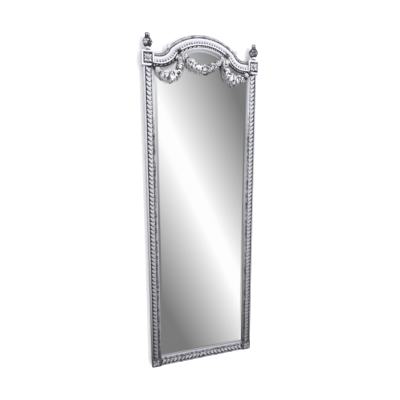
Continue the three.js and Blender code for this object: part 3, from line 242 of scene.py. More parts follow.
def new_finish(name):
    """The same, with the place on the piece that its patterns read."""
    material, graph = new_material(name)
    return material, graph, graph.node("ShaderNodeTexCoord", output="Object")


def surfaced(graph, inputs, bump=None):
    """Ends a material: a Principled shader with these inputs and an optional bump height."""
    if bump:
        height, strength, distance = bump
        inputs["Normal"] = graph.node(
            "ShaderNodeBump", None, {"Height": height, "Strength": strength, "Distance": distance}
        )
    shader = graph.node("ShaderNodeBsdfPrincipled", None, inputs)
    graph.node("ShaderNodeOutputMaterial", None, {"Surface": shader})


print("helpers for node trees are ready")

# %% [markdown]
# ## Silver leaf and its patina
#
# Leaf is beaten silver laid over clay and size. It is bright and slightly soft where a
# cloth has rubbed it, and grey to black where wax and dirt stay in the hollows. The carved
# meshes carry that as a point value named relief: 0 deep in a hollow, 1 on a crown. The
# shader turns relief and some noise into a mask, and lets the mask choose colour, shine and
# metal. The leaf's colour is also darkened towards the foot of the frame: painted shade.

# %% Silver leaf
LEAF_WHITE = (0.86, 0.86, 0.89, 1)
PATINA = (0.034, 0.029, 0.036, 1)
BOLE = (0.20, 0.15, 0.13, 1)


def silver_leaf(name, foot=0.4, fade=2.0, depth=0.42, roughness=0.34, metal=0.5, white=LEAF_WHITE):
    """foot scales the leaf's tone at the frame's foot and fade says how late it darkens: painted
    shade.
    """
    material, graph, place = new_finish(name)
    relief = graph.node("ShaderNodeAttribute", {"attribute_name": "relief"}, output="Fac")
    cloud = graph.noise(place, 60.0, 4.0)
    speck = graph.noise(place, 700.0, 3.0, 0.6)
    height = graph.node("ShaderNodeSeparateXYZ", None, {"Vector": place}, 2)
    # Painted shade: towards the frame's foot the leaf's colour is mixed with a near black.
    below_top = (1.0 - height * (1 / FRAME_TOP)).clipped()
    foot_shade = below_top.math("POWER", below_top, fade) * (1 - foot)
    mask = ((relief - depth) * 2.1 + (cloud - 0.5) * 1.7 + (speck - 0.5) * 0.7 + 0.3).clipped()
    worn = ((speck - 0.62) * 9.0).clipped() * 0.35
    leaf = graph.mixed(foot_shade, white, (0.05, 0.048, 0.055, 1))
    rubbed = graph.mixed(worn * (1.0 - relief), leaf, BOLE)
    colour = graph.mixed(mask, PATINA, rubbed)
    surfaced(
        graph,
        {
            "Base Color": colour,
            "Metallic": mask * metal + 0.1,
            "Roughness": 1.0 - mask * (1 - roughness) + (cloud - 0.5) * 0.16,
        },
        (cloud * 0.6 + speck * 0.4, 0.35, 0.5 * MM),
    )
    return material


silver_frame = silver_leaf("silver_leaf_frame", foot=0.04, fade=3.2, depth=0.4)
silver_rail = silver_leaf("silver_leaf_rail", foot=0.82, fade=1.5, depth=0.36, roughness=0.3)
silver_band = silver_leaf(
    "silver_leaf_band", foot=0.26, fade=1.3, depth=0.32, roughness=0.3, metal=0.4
)
silver_crest = silver_leaf("silver_leaf_crest", depth=0.3, metal=0.12, white=(0.8, 0.79, 0.825, 1))
silver_carved = silver_leaf(
    "silver_leaf_carved", depth=0.4, roughness=0.3, metal=0.1, white=(0.95, 0.94, 0.96, 1)
)
print("silver leaf in five strengths of patina")

# %% [markdown]
# ## Glass, wood, steel and rubber
#
# The mirror's silvering is the only clean metal here. The frame's back is bare limewood,
# the board is hardboard, and the fittings are zinc-plated steel. Their colours are plain,
# so grain and wear carry them: stretched noise along the wood, fine specks in the board,
# and a brushed, spangled zinc.

# %% Other finishes
def mirror_silvering():
    material, graph, place = new_finish("mirror_silvering")
    haze = graph.noise(place, 9.0, 2.0)
    surfaced(
        graph,
        {
            "Base Color": graph.mixed(haze, (0.97, 0.975, 0.975, 1), (0.985, 0.985, 0.985, 1)),
            "Metallic": 1.0,
            "Roughness": haze * 0.01 + 0.004,
        },
    )
    return material


def grained(name, colours, scale, detail, rough, bump, stretch=(1, 1, 1), coarse=0.55, stain=None):
    """A dull finish: noise between two colours, and a wide stain over it where one is given."""
    material, graph, place = new_finish(name)
    along = graph.node("ShaderNodeMapping", None, {"Vector": place, "Scale": stretch})
    grain = graph.noise(along, scale, detail, coarse)
    colour = graph.mixed(grain, *colours)
    if stain:
        size, strength, tint = stain
        colour = graph.mixed(graph.noise(place, size, 3.0) * strength, colour, tint)
    roughness = grain * rough[0] + rough[1]
    surfaced(graph, {"Base Color": colour, "Roughness": roughness}, (grain, *bump))
    return material


def zinc():
    material, graph, place = new_finish("zinc_plated_steel")
    spangle = graph.node("ShaderNodeTexVoronoi", None, {"Vector": place, "Scale": 260.0})
    brush = graph.noise(place, 1400.0, 2.0)
    surfaced(
        graph,
        {
            "Base Color": graph.mixed(spangle, (0.50, 0.52, 0.54, 1), (0.68, 0.69, 0.70, 1)),
            "Metallic": 0.9,
            "Roughness": spangle * 0.12 + brush * 0.1 + 0.26,
        },
        (brush, 0.12, 0.1 * MM),
    )
    return material


silvering, steel = mirror_silvering(), zinc()
limewood = grained(
    "bare_limewood", [(0.36, 0.235, 0.135, 1), (0.56, 0.41, 0.26, 1)], 1.0, 6.0, (0.2, 0.62),
    (0.3, 0.4 * MM), stretch=(220, 220, 9), coarse=0.6, stain=(7.0, 0.6, (0.25, 0.17, 0.11, 1)),
)
board_brown = grained(
    "hardboard_back", [(0.13, 0.075, 0.04, 1), (0.30, 0.19, 0.105, 1)], 900.0, 5.0, (0.2, 0.68),
    (0.4, 0.3 * MM), coarse=0.7, stain=(12.0, 0.5, (0.20, 0.13, 0.08, 1)),
)
black_rubber = grained(
    "black_rubber", [(0.012, 0.012, 0.013, 1), (0.045, 0.045, 0.047, 1)], 300.0, 4.0, (0.25, 0.6),
    (0.2, 0.2 * MM),
)
print("finishes:", [made.name for made in (silvering, limewood, board_brown, steel, black_rubber)])

# %% [markdown]
# ## Carvings as arrays
#
# Carved work is many small closed forms that overlap. A `Carving` is just points, faces and
# a relief value for each point, so forms can be turned, scaled and gathered as numbers
# before one mesh is made of them. `skin` closes a run of rings, and everything round or
# lofted here is made with it.

# %% Carvings
class Carving:
    def __init__(self, points, faces, relief):
        self.points = np.asarray(points, float).reshape(-1, 3)
        self.faces = faces
        self.relief = np.broadcast_to(np.asarray(relief, float), len(self.points)).copy()

    def moved(self, matrix, tone=1.0):
        """A copy through a 4 by 4 matrix, its relief scaled by tone."""
        m = np.array(matrix)
        return Carving(self.points @ m[:3, :3].T + m[:3, 3], self.faces, self.relief * tone)


def gathered(carvings):
    points, faces, relief, start = [], [], [], 0
    for one in carvings:
        points.append(one.points)
        relief.append(one.relief)
        faces += [tuple(start + i for i in face) for face in one.faces]
        start += len(one.points)
    return Carving(np.concatenate(points), faces, np.concatenate(relief))


def skin(rings, relief, loop=False):
    """A closed surface over rings of points; loop joins the last ring to the first."""
    rings = np.asarray(rings, float)
    count, around = rings.shape[:2]
    faces = []
    for r in range(count if loop else count - 1):
        here, there = r * around, (r + 1) % count * around
        for i in range(around):
            j = (i + 1) % around
            faces.append((here + i, here + j, there + j, there + i))
    if not loop:
        faces.append(tuple(reversed(range(around))))
        faces.append(tuple(range((count - 1) * around, count * around)))
    tones = np.broadcast_to(np.asarray(relief, float), (count, around)).ravel()
    return Carving(rings, faces, tones)


print("a Carving holds points, faces and relief")

# %% [markdown]
# ## From a carving to a piece
#
# A finished piece is a mesh with its relief as a point value. It rides on a body of the
# mirror, stands for the CAD nodes it replaces, and carries its finish in its own mesh. Forms
# are drawn flat, so they also need a way on to the mirror's front.

# %% Pieces and places
def new_object(name, carving, materials, crease=35):
    """Makes the mesh, turns its faces outwards and keeps edges above the crease angle sharp."""
    mesh = bpy.data.meshes.new(name)
    mesh.from_pydata(carving.points.tolist(), [], carving.faces)
    mesh.attributes.new("relief", "FLOAT", "POINT").data.foreach_set(
        "value", carving.relief.astype(np.float32)
    )
    for material in materials:
        mesh.materials.append(material)
    build = bmesh.new()
    build.from_mesh(mesh)
    bmesh.ops.recalc_face_normals(build, faces=build.faces)
    build.to_mesh(mesh)
    build.free()
    mesh.shade_smooth()
    mesh.set_sharp_from_angle(angle=math.radians(crease))
    return placed(name, mesh)


def seat(piece, *nodes, body="mirror", slot=None):
    """The piece rides on a body and stands for CAD nodes; slot is not used."""
    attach(piece, body)
    if nodes:
        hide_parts(*nodes)
    return piece


SIDES = (("left", -1), ("right", 1))


def shift(x, y, z):
    """A move, in millimetres."""
    return Matrix.Translation((x * MM, y * MM, z * MM))


def front_view(x, z, y, roll=0.0, size=1.0):
    """Sets a form drawn flat, with its face towards +Z, on the mirror's front at x, z."""
    face_front = turn("X", 90)
    return Matrix.Translation((x, y, z)) @ face_front @ turn("Z", roll) @ Matrix.Scale(size, 4)


print("helpers for carvings are ready")

# %% [markdown]
# ## Leaves, blossoms and beads
#
# Almost every ornament on this frame is a leaf of some kind: long and pointed in the laurel
# band, broad and curled in the garlands, cupped as a petal, or thick as a scale on the
# finials. One function draws them all as closed shells, with a middle rib, a bend along the
# length and a cup across it. A blossom is whorls of such petals, steeper towards its heart.

# %% Leaves
def leaf(
    length, width, bend=0.4, cup=-0.3, rib=0.25, thick=1.1 * MM, blunt=0.0, base=0.3, along=6,
    across=5
):
    """A closed leaf that starts at the origin, runs along +Y and shows its face to +Z."""
    rows = []
    tones = []
    for step in range(along):
        t = step / (along - 1)
        pointed = max(math.sin(math.pi * t**0.75), 0.0) ** 0.8
        rounded = min(1.0, 0.35 + 1.3 * t) * math.sqrt(max(1 - t**6, 0.0))
        half = width / 2 * max(pointed * (1 - blunt) + rounded * blunt, 0.06)
        angle = bend * t
        y = length * (math.sin(angle) / bend if bend else t)
        z = length * ((1 - math.cos(angle)) / bend if bend else 0.0)
        upper, under, upper_tone = [], [], []
        for column in range(across):
            s = 2 * column / (across - 1) - 1
            groove = rib * half * max(0.0, 1 - abs(s) * 2.5)
            lift = cup * half * s * s - groove
            upper.append((s * half, y - lift * math.sin(angle), z + lift * math.cos(angle)))
            sink = lift - thick * (1 - 0.7 * s * s)
            under.append((s * half, y - sink * math.sin(angle), z + sink * math.cos(angle)))
            rubbed = base + (1 - base) * min(1.0, 1.6 * t)
            # The flanks are darker than the middle of the leaf: painted shade on its rounded face.
            upper_tone.append(rubbed * (1 - 0.4 * s * s) * (0.8 if groove > 0 else 1.0))
        rows.append(upper + under[::-1])
        tones.append(upper_tone + [0.12] * across)
    return skin(rows, tones)


def blossom(radius, seed=1, whorls=((6, 1.0, 14), (5, 0.74, 38), (4, 0.5, 60), (3, 0.3, 78))):
    """A rose seen from the front: whorls of petals round a small heart, facing +Z."""
    random = np.random.default_rng(seed)
    parts = []
    for petals, size, lift in whorls:
        spin = random.uniform(0, 360)
        for i in range(petals):
            shape = leaf(
                radius * size, radius * size * 1.15, bend=0.35, cup=0.45, rib=0.0,
                thick=radius * 0.09, blunt=0.8, base=0.5, along=6, across=5,
            )
            tilt = turn("X", lift + random.uniform(-6, 6))
            around = turn("Z", spin + 360 * i / petals + random.uniform(-7, 7))
            parts.append(shape.moved(around @ Matrix.Translation((0, radius * 0.06, 0)) @ tilt))
    heart = bead(radius * 0.2, radius * 0.2, radius * 0.3)
    parts.append(heart.moved(Matrix.Translation((0, 0, radius * 0.25))))
    return gathered(parts)


def bead(across, along, high, sides=10, rows=6):
    """A round or oval bead, its middle at the origin."""
    rings = []
    tones = []
    for row in range(rows):
        angle = math.pi * (row + 0.35) / (rows - 0.3)
        out, up = math.sin(angle), -math.cos(angle)
        spins = [2 * math.pi * i / sides for i in range(sides)]
        rings.append(
            [(across * out * math.cos(a), along * out * math.sin(a), high * up) for a in spins]
        )
        tones.append([0.3 + 0.35 * (up + 1)] * sides)
    return skin(rings, tones)


print("one garland leaf has", len(leaf(20 * MM, 9 * MM).faces), "faces, one blossom",
      len(blossom(15 * MM).faces))

# %% [markdown]
# ## Two Geometry Nodes trees
#
# What repeats along a moulding is planted by Geometry Nodes. The first tree sets copies of a
# piece along a path at an even pitch, turned to follow it: laurel leaves, darts, beads. The
# second plants copies on marked points, each with its own turn and size: scales, garland
# leaves, screws. Each result is turned into a plain mesh before it joins the mirror.

# %% Trees
def new_tree(name, inputs, body):
    """A tree with these (name, socket type, default) inputs; body wires it up."""
    tree = bpy.data.node_groups.new(name, "GeometryNodeTree")
    graph = Graph(tree)
    tree.interface.new_socket("Geometry", in_out="OUTPUT", socket_type="NodeSocketGeometry")
    for label, kind, default in [("Geometry", "Geometry", None)] + inputs:
        socket = tree.interface.new_socket(label, in_out="INPUT", socket_type="NodeSocket" + kind)
        if default is not None:
            socket.default_value = default
    start = tree.nodes.new("NodeGroupInput")
    wires = {socket.name: Wire(graph, socket) for socket in start.outputs if socket.name}
    shape = body(graph, wires)
    whole = graph.node("GeometryNodeRealizeInstances", None, {"Geometry": shape})
    worn = stored(graph, whole, "relief", named(graph, "relief") * named(graph, "tone"))
    painted = graph.node(
        "GeometryNodeSetMaterial", None, {"Geometry": worn, "Material": wires["Finish"]}
    )
    graph.node("NodeGroupOutput", None, {"Geometry": painted})
    return tree


def named(graph, name, kind="FLOAT"):
    return graph.node("GeometryNodeInputNamedAttribute", {"data_type": kind}, {"Name": name})


def stored(graph, geometry, name, value):
    settings = {"data_type": "FLOAT", "domain": "POINT"}
    return graph.node(
        "GeometryNodeStoreNamedAttribute", settings, {
            "Geometry": geometry, "Name": name, "Value": value
        }
    )


def random_value(graph, low, high, seed):
    inputs = {2: low, 3: high, "Seed": seed}
    return graph.node("FunctionNodeRandomValue", {"data_type": "FLOAT"}, inputs, 1)


def copies_on_path(graph, wires):
    curve = graph.node("GeometryNodeMeshToCurve", None, {0: wires["Geometry"]})
    evenly = graph.node(
        "GeometryNodeResampleCurve", {"mode": "LENGTH"}, {"Curve": curve, "Length": wires["Pitch"]}
    )
    tangent = graph.node("GeometryNodeInputTangent")
    facing = graph.node(
        "FunctionNodeAxesToRotation", {"primary_axis": "Z", "secondary_axis": "Y"},
        {0: (0.0, -1.0, 0.0), 1: tangent},
    )
    uneven = wires["Unevenness"]
    size = random_value(graph, 1.0 - uneven, 1.0 + uneven, wires["Seed"])
    toned = stored(
        graph, evenly, "tone", random_value(graph, 1.0 - uneven * 5.0, 1.0, wires["Seed"] + 1.0)
    )
    piece = graph.node("GeometryNodeObjectInfo", None, {"Object": wires["Piece"]}, "Geometry")
    return graph.node(
        "GeometryNodeInstanceOnPoints", None,
        {"Points": toned, "Instance": piece, "Rotation": facing, "Scale": size},
    )


def copies_on_points(graph, wires):
    facing = graph.node(
        "FunctionNodeEulerToRotation", None, {0: named(graph, "turn", "FLOAT_VECTOR")}
    )
    size = named(graph, "size") * wires["Size"]
    piece = graph.node("GeometryNodeObjectInfo", None, {"Object": wires["Piece"]}, "Geometry")
    return graph.node(
        "GeometryNodeInstanceOnPoints", None,
        {"Points": wires["Geometry"], "Instance": piece, "Rotation": facing, "Scale": size},
    )


finish_input = ("Finish", "Material", None)
path_tree = new_tree(
    "copies_along_a_path",
    [("Piece", "Object", None), ("Pitch", "Float", 0.02), ("Unevenness", "Float", 0.03),
     ("Seed", "Int", 1), finish_input],
    copies_on_path,
)
point_tree = new_tree(
    "copies_on_points",
    [("Piece", "Object", None), ("Size", "Float", 1.0), finish_input],
    copies_on_points,
)
print("trees:", [tree.name for tree in bpy.data.node_groups])

# %% [markdown]
# ## From a tree to a plain mesh
#
# A modifier's inputs are set by their identifiers before anything is evaluated. The
# evaluated result is copied out as a mesh, and the object that carried the modifier is
# thrown away, so that nothing live is left on a piece.

# %% Growing a mesh from a tree
def evaluated_mesh(carrier):
    """The mesh that a carrier's modifiers give; the carrier is thrown away."""
    depsgraph = bpy.context.evaluated_depsgraph_get()
    mesh = bpy.data.meshes.new_from_object(carrier.evaluated_get(depsgraph), depsgraph=depsgraph)
    bpy.data.objects.remove(carrier)
    return mesh


def grown(name, points, edges, tree, values, marks=None):
    """Runs a tree on a wire of points and edges and returns the result as a plain object."""
    wire = bpy.data.meshes.new(name)
    wire.from_pydata([tuple(point) for point in points], edges, [])
    for key, kind, entries in marks or []:
        data = wire.attributes.new(key, kind, "POINT").data
        data.foreach_set(
            "vector" if kind == "FLOAT_VECTOR" else "value", np.ravel(entries).astype(np.float32)
        )
    carrier = placed(name + "_carrier", wire)
    modifier = carrier.modifiers.new("grow", "NODES")
    modifier.node_group = tree
    for item in tree.interface.items_tree:
        if item.in_out == "INPUT" and item.name in values:
            modifier[item.identifier] = values[item.name]
    mesh = evaluated_mesh(carrier)
    mesh.name = name
    return placed(name, mesh)


def pattern_piece(name, carving):
    """A hidden object that a tree copies; it is deleted once every tree has run."""
    made = new_object("pattern_" + name, carving, [])
    made.hide_render = True
    patterns.append(made)
    return made


patterns = []


def along_path(name, path, piece, pitch, finish, seed=1, unevenness=0.03):
    points = [tuple(point) for point in path]
    edges = [(i, i + 1) for i in range(len(points) - 1)]
    values = {
        "Piece": piece, "Pitch": pitch, "Unevenness": unevenness, "Seed": seed, "Finish": finish
    }
    return grown(name, points, edges, path_tree, values)


def on_points(name, places, piece, finish, size=1.0):
    """places holds a (matrix, size, tone) for each copy."""
    turns = [tuple(matrix.to_euler()) for matrix, _, _ in places]
    marks = [
        ("turn", "FLOAT_VECTOR", turns),
        ("size", "FLOAT", [scale for _, scale, _ in places]),
        ("tone", "FLOAT", [tone for _, _, tone in places]),
    ]
    values = {"Piece": piece, "Size": size, "Finish": finish}
    spots = [matrix.to_translation() for matrix, _, _ in places]
    return grown(name, spots, [], point_tree, values, marks)


print("a tree can be run on a path or on marked points")

# %% [markdown]
# ## Small helpers for paths and pieces
#
# Paths are drawn for the right side and mirrored for the left. Several meshes that the
# mirror wears as one ornament are joined, and a joined ornament may be dimmed as a whole.

# %% Paths and joins
def in_plane(path, y):
    """x, z points as 3-D points at one depth."""
    return [(x, y, z) for x, z in path]


def mirrored_path(path):
    return [(-x, y, z) for x, y, z in reversed(path)]


def joined(name, *pieces):
    """Several finished meshes as one piece."""
    bpy.ops.object.select_all(action="DESELECT")
    for piece in pieces:
        piece.select_set(True)
    bpy.context.view_layer.objects.active = pieces[0]
    bpy.ops.object.join()
    pieces[0].name = pieces[0].data.name = name
    return pieces[0]


def dimmed(piece, tone):
    """Scales the relief of a finished piece."""
    for point in piece.data.attributes["relief"].data:
        point.value *= tone
    return piece


print("trees can now be grown into meshes")

# %% [markdown]
# ## Stiles, rail and blocks
#
# These are planed from the solid, and their joinery is already right in the frame, so a
# copy of each is kept and only its arrises are softened, as gesso and leaf do. The flat
# backs are bare wood, and the sunk channel under the laurel is given no relief, so that the
# patina settles there.

# %% Softened members
def wood_back(piece):
    """Gives the faces on the mirror's back the bare wood."""
    piece.data.materials.append(limewood)
    for face in piece.data.polygons:
        face.material_index = int(face.normal.y > 0.7 and face.center.y > BACK - 1.5 * MM)
    return piece


def softened(node, relief_at, finish, width=0.7 * MM, levels=()):
    """A merged copy of a CAD node with rounded arrises and bare wood on its back."""
    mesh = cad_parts[node].data.copy()
    build = bmesh.new()
    build.from_mesh(mesh)
    bmesh.ops.remove_doubles(build, verts=build.verts, dist=1e-6)
    bmesh.ops.dissolve_limit(
        build, angle_limit=math.radians(1), verts=build.verts, edges=build.edges
    )
    for level in levels:
        everything = build.verts[:] + build.edges[:] + build.faces[:]
        bmesh.ops.bisect_plane(build, geom=everything, plane_co=(0, 0, level), plane_no=(0, 0, 1))
    build.to_mesh(mesh)
    build.free()
    carrier = placed(node + "_carrier", mesh)
    rounding = carrier.modifiers.new("arris", "BEVEL")
    rounding.width = width
    rounding.segments = 2
    rounding.limit_method = "ANGLE"
    rounding.angle_limit = math.radians(25)
    soft = evaluated_mesh(carrier)
    soft.materials.clear()
    soft.materials.append(finish)
    tones = [relief_at(vertex.co) for vertex in soft.vertices]
    soft.attributes.new("relief", "FLOAT", "POINT").data.foreach_set("value", tones)
    soft.shade_smooth()
    soft.set_sharp_from_angle(angle=math.radians(20))
    return wood_back(placed(node + "_wood", soft))


print("a member can now be softened")

# %% [markdown]
# ## Where the leaf is rubbed, and where shade is painted
#
# Relief on a planed member depends on where a point lies across its section: the fillets
# are rubbed bright, and the ground under the laurel keeps its wax. The inner fillet is
# darker low down and brightens above a height: painted shade and painted light.

# %% Relief of the members
INNER_LIT_FROM = 1.3  # above this height the inner fillet brightens: painted light
EDGE_TONE, GROUND_TONE, INNER_SHADED_TONE, RUBBED_TONE = 0.72, 0.06, 0.37, 0.95
GROUND_IN, GROUND_OUT = OUTER_FILLET + 0.2 * MM, OUTER_FILLET + BAND_WIDTH - 0.2 * MM


def member_relief(inset, y, z=0.0):
    """Relief across the stile's or rail's section, by its distance in from the outer edge."""
    if inset < 0.4 * MM:
        return EDGE_TONE
    if GROUND_IN < inset < GROUND_OUT and y > FRONT + 1.5 * MM:
        return GROUND_TONE
    # The inner fillet is darker low down and brighter above INNER_LIT_FROM: painted shade and
    # light.
    if inset > GROUND_OUT and y < FRONT + 1 * MM:
        return INNER_SHADED_TONE + min(max((z - INNER_LIT_FROM) * 2.2, 0.0), 0.45)
    return RUBBED_TONE


stile_levels = [INNER_LIT_FROM + 0.07 * i for i in range(4)]
for word, _ in SIDES:
    stile = softened(
        word + "_stile", lambda p: member_relief(FRAME_HALF - abs(p.x), p.y, p.z), silver_frame,
        levels=stile_levels,
    )
    seat(stile, word + "_stile", slot="silver_frame")


def rail_relief(p):
    """As on the stiles, but darker on the outer fillet: painted shade at the frame's foot."""
    tone = member_relief(p.z, p.y)
    return 0.42 if p.z < GROUND_IN and tone > 0.5 else tone - 0.04


rail = softened("bottom_rail", rail_relief, silver_rail)
seat(rail, "bottom_rail", slot="silver_frame")


def foot_relief(p):
    return 0.35 if p.y > FRONT + 2 * MM else 0.7


def block_relief(p):
    if abs(abs(p.x) - BLOCK_CENTRE) < 24 * MM and BLOCK_FRONT + 3 * MM < p.y < BACK - 4 * MM:
        return 0.14
    return 0.95 if p.y < BLOCK_FRONT + 0.3 * MM else 0.5


for word, _ in SIDES:
    seat(
        softened(word + "_foot_block", foot_relief, silver_frame), word + "_foot_block",
        slot="silver_frame"
    )
    block = softened(word + "_top_block", block_relief, silver_crest, width=1.8 * MM)
    seat(block, word + "_top_block", slot="silver_frame")
print("stiles, rail and four blocks softened")

# %% [markdown]
# ## The crest moulding
#
# A crest like this is run with a scraper cut to the section: bead, quirk, cove, a channel
# for the dart strip, a proud fillet, a channel for the ribbon, and the sight edge. The same
# section follows the shoulder's arc and the arch's arc, and both stop on the mitre between
# them. So the mesh is the section drawn once, and swept twice.

# %% Crest section and sweeps
def section_of_crest(bead_tone, sight_tone):
    """(width in from the outer edge, depth behind the front plane, relief), all round."""
    points = [(0, 28, 0.3), (0, 12, 0.3), (0, 4, 0.3)]
    for step in range(9):  # the bead
        share = (step + 0.5) / 9
        depth = 3.5 - 4.5 * math.sin(share * math.pi)
        # Darker towards both edges than on the crown: painted shade on the bead's rounded flanks.
        points.append((share * 13, depth, bead_tone - 0.16 * (2 * share - 0.9) ** 2))
    points += [(13, 3.8, 0.0), (14.5, 5.2, 0.0), (16, 2.6, 0.0)]
    for step in range(9):  # the cove
        share = step / 8
        rise = (1 - math.sqrt(1 - (share * 0.96) ** 2)) / 0.72
        points.append((16.4 + share * 16.6, 1.5 - 7.5 * rise, 0.6 + 0.35 * min(1, share * 3)))
    points += [  # the dart channel, the proud fillet, the ribbon channel
        (33.5, -3.6, 0.62), (44.5, -3.6, 0.62), (45, -9.1, 0.9), (45.4, -9.5, 1), (50.4, -9.5, 1),
        (50.8, -9.1, 0.9), (51.1, -7.5, 0.05), (51.4, -1, 0), (61, -1, 0),
    ]
    points.append((61.3, -4.2, sight_tone * 0.8))
    points += [(w, d, sight_tone) for w, d in ((61.6, -4.5), (65.2, -4.5), (65.7, -4), (66, 0))]
    points += [(66, 1, 0.76), (66, 12, 0.76), (56, 12, 0), (56, 28, 0)]
    return [(width * MM, FRONT + depth * MM, tone) for width, depth, tone in points]


print("crest section of", len(section_of_crest(0.5, 1.0)), "points")

# %% [markdown]
# ## Arcs and the mitre
#
# Each point of the section runs along its own circle, and all of them have to stop on the
# mitre line. So the ends are worked out: where a line meets a circle, and where two
# circles cross.

# %% Paths of the crest
def meet_circle(start, way, centre, radius, near):
    """Where a line from start meets a circle, at the crossing closest to the distance near."""
    rel = start - centre
    half = rel.dot(way)
    root = math.sqrt(max(half * half - (rel.length_squared - radius * radius), 0.0))
    return start + way * min((-half - root, -half + root), key=lambda reach: abs(reach - near))


def circles_meet(centre_a, radius_a, centre_b, radius_b):
    """The upper crossing of two circles."""
    gap = centre_b - centre_a
    along = (gap.length_squared + radius_a**2 - radius_b**2) / (2 * gap.length)
    aside = math.sqrt(max(radius_a**2 - along**2, 0.0))
    way = gap.normalized()
    return centre_a + way * along + Vector((way.y, -way.x)) * aside


SIGHT_BREAK = circles_meet(
    SHOULDER_CENTRE, SHOULDER_RADIUS + CREST_WIDTH, ARCH_CENTRE, ARCH_RADIUS - CREST_WIDTH
)
MITRE = (SIGHT_BREAK - BREAK).normalized()
INTO_ARCH = Vector((MITRE.y, -MITRE.x))


def angle_of(point, centre):
    return math.atan2(point.y - centre.y, point.x - centre.x)


def shoulder_end(point):
    """The angle of a point on the shoulder's circle, counted clockwise from the level."""
    angle = angle_of(point, SHOULDER_CENTRE)
    return angle - math.tau if angle > 0 else angle


def arc(centre, radius, first, last, steps):
    """x, z points along an arc, with both of its ends."""
    angles = [first + (last - first) * step / steps for step in range(steps + 1)]
    return [(centre.x + radius * math.cos(a), centre.y + radius * math.sin(a)) for a in angles]


def shoulder_path(width, gap=JOINT_GAP / 2, steps=40, start_x=SIGHT_HALF - JOINT_GAP):
    """x, z points of the right shoulder at a width in from its outer edge, block to mitre."""
    radius = SHOULDER_RADIUS + width
    end = meet_circle(BREAK - INTO_ARCH * gap, MITRE, SHOULDER_CENTRE, radius, width)
    level = [(start_x, SHOULDER_CENTRE.y - radius)] if start_x > SHOULDER_CENTRE.x else []
    return level + arc(SHOULDER_CENTRE, radius, -math.pi / 2, shoulder_end(end), steps)


def arch_path(width, gap=JOINT_GAP / 2, steps=110, trim=0.0):
    """x, z points of the arch from its right mitre to its left one; trim shortens both ends."""
    radius = ARCH_RADIUS - width
    end = meet_circle(BREAK + INTO_ARCH * gap, MITRE, ARCH_CENTRE, radius, width)
    first = angle_of(end, ARCH_CENTRE) + trim / radius
    return arc(ARCH_CENTRE, radius, first, math.pi - first, steps)


def swept(path_of, bead_tone, sight_tone):
    section = section_of_crest(bead_tone, sight_tone)
    columns = [[(x, y, z) for x, z in path_of(width)] for width, y, _ in section]
    rings = np.array(columns).transpose(1, 0, 2)
    return skin(rings, [tone for _, _, tone in section])


MIRRORED = Matrix.Scale(-1, 4, (1, 0, 0))
arch_moulding = wood_back(
    new_object("arch_moulding", swept(arch_path, 0.44, 1.0), [silver_crest], crease=28)
)
seat(arch_moulding, "arch", slot="silver_frame")
for word, side in SIDES:
    sweep = swept(shoulder_path, 0.36, 0.12)
    shape = sweep if side > 0 else sweep.moved(MIRRORED)
    moulding = wood_back(new_object(word + "_shoulder_moulding", shape, [silver_crest], crease=28))
    seat(moulding, word + "_shoulder", slot="silver_frame")
print("the section is swept over arch and shoulders")

# %% [markdown]
# ## Laurel bands
#
# The channels of the stiles and the rail hold a pressed band of laurel: a long leaf over a
# short one, with a berry beside them. One sprig is drawn for each side, and the path tree
# sets it every 22 millimetres.

# %% Laurel bands
LAUREL_PITCH = 22 * MM
LAUREL_GROUND = FRONT + BAND_RECESS - JOINT_GAP
BAND_MIDDLE = FRAME_HALF - OUTER_FILLET - BAND_WIDTH / 2


def laurel_sprig(outer_side):
    """A long outer leaf laid over a shorter inner one, with a berry between."""
    outer = leaf(
        33 * MM, 14.5 * MM, bend=-0.08, cup=-0.45, rib=0.15, thick=1.5 * MM, blunt=0.3, base=0.9
    )
    inner = leaf(
        15 * MM, 11 * MM, bend=-0.08, cup=-0.45, rib=0.15, thick=1.5 * MM, blunt=0.3, base=0.8
    )
    outer_at = shift(-outer_side * 11, -15, 3.6) @ turn("Z", -outer_side * 42)
    inner_at = shift(-outer_side * 2, -5, 2.8) @ turn("Z", outer_side * 46)
    berry = bead(2 * MM, 2.2 * MM, 1.6 * MM, sides=8, rows=5)
    return gathered([
        outer.moved(outer_at @ turn("X", 3)),
        inner.moved(inner_at @ turn("X", 2), 0.9),
        berry.moved(shift(-outer_side * 12.4, -3, 2.2), 0.9),
    ])


sprigs = {side: pattern_piece(f"sprig_{side}", laurel_sprig(side)) for side in (-1, 1)}
for word, side in SIDES:
    low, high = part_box(word + "_laurel_band")
    x = side * BAND_MIDDLE
    ends = [(x, LAUREL_GROUND, low.z + 12 * MM), (x, LAUREL_GROUND, high.z - 14 * MM)]
    band = along_path(
        word + "_laurel", ends, sprigs[side], LAUREL_PITCH, silver_band, seed=side + 5
    )
    seat(band, word + "_laurel_band", slot="silver_ornament")
rail_z = OUTER_FILLET + BAND_WIDTH / 2
rail_halves = []
for word, side in SIDES:
    ends = [
        (side * 12 * MM, LAUREL_GROUND, rail_z),
        (side * (SIGHT_HALF - 14 * MM), LAUREL_GROUND, rail_z)
    ]
    rail_halves.append(
        along_path(
            word + "_rail_laurel", ends, sprigs[side], LAUREL_PITCH, silver_rail, seed=side + 9
        )
    )
# Dimmed as a whole: painted shade at the frame's foot.
rail_laurel = dimmed(joined("rail_laurel", *rail_halves), 0.72)
seat(rail_laurel, "bottom_laurel_band", slot="silver_ornament")
print("laurel bands grown; one sprig has", len(sprigs[1].data.polygons), "faces")

# %% [markdown]
# ## Strips of the crest
#
# Three rows of small ornament follow the crest: pearls along the outer bead, tongues and
# darts in the outer channel, and a ribbon wound on a stick in the inner one. The ribbon's
# passes are long on the left and short and steep on the right, as on the real arch.

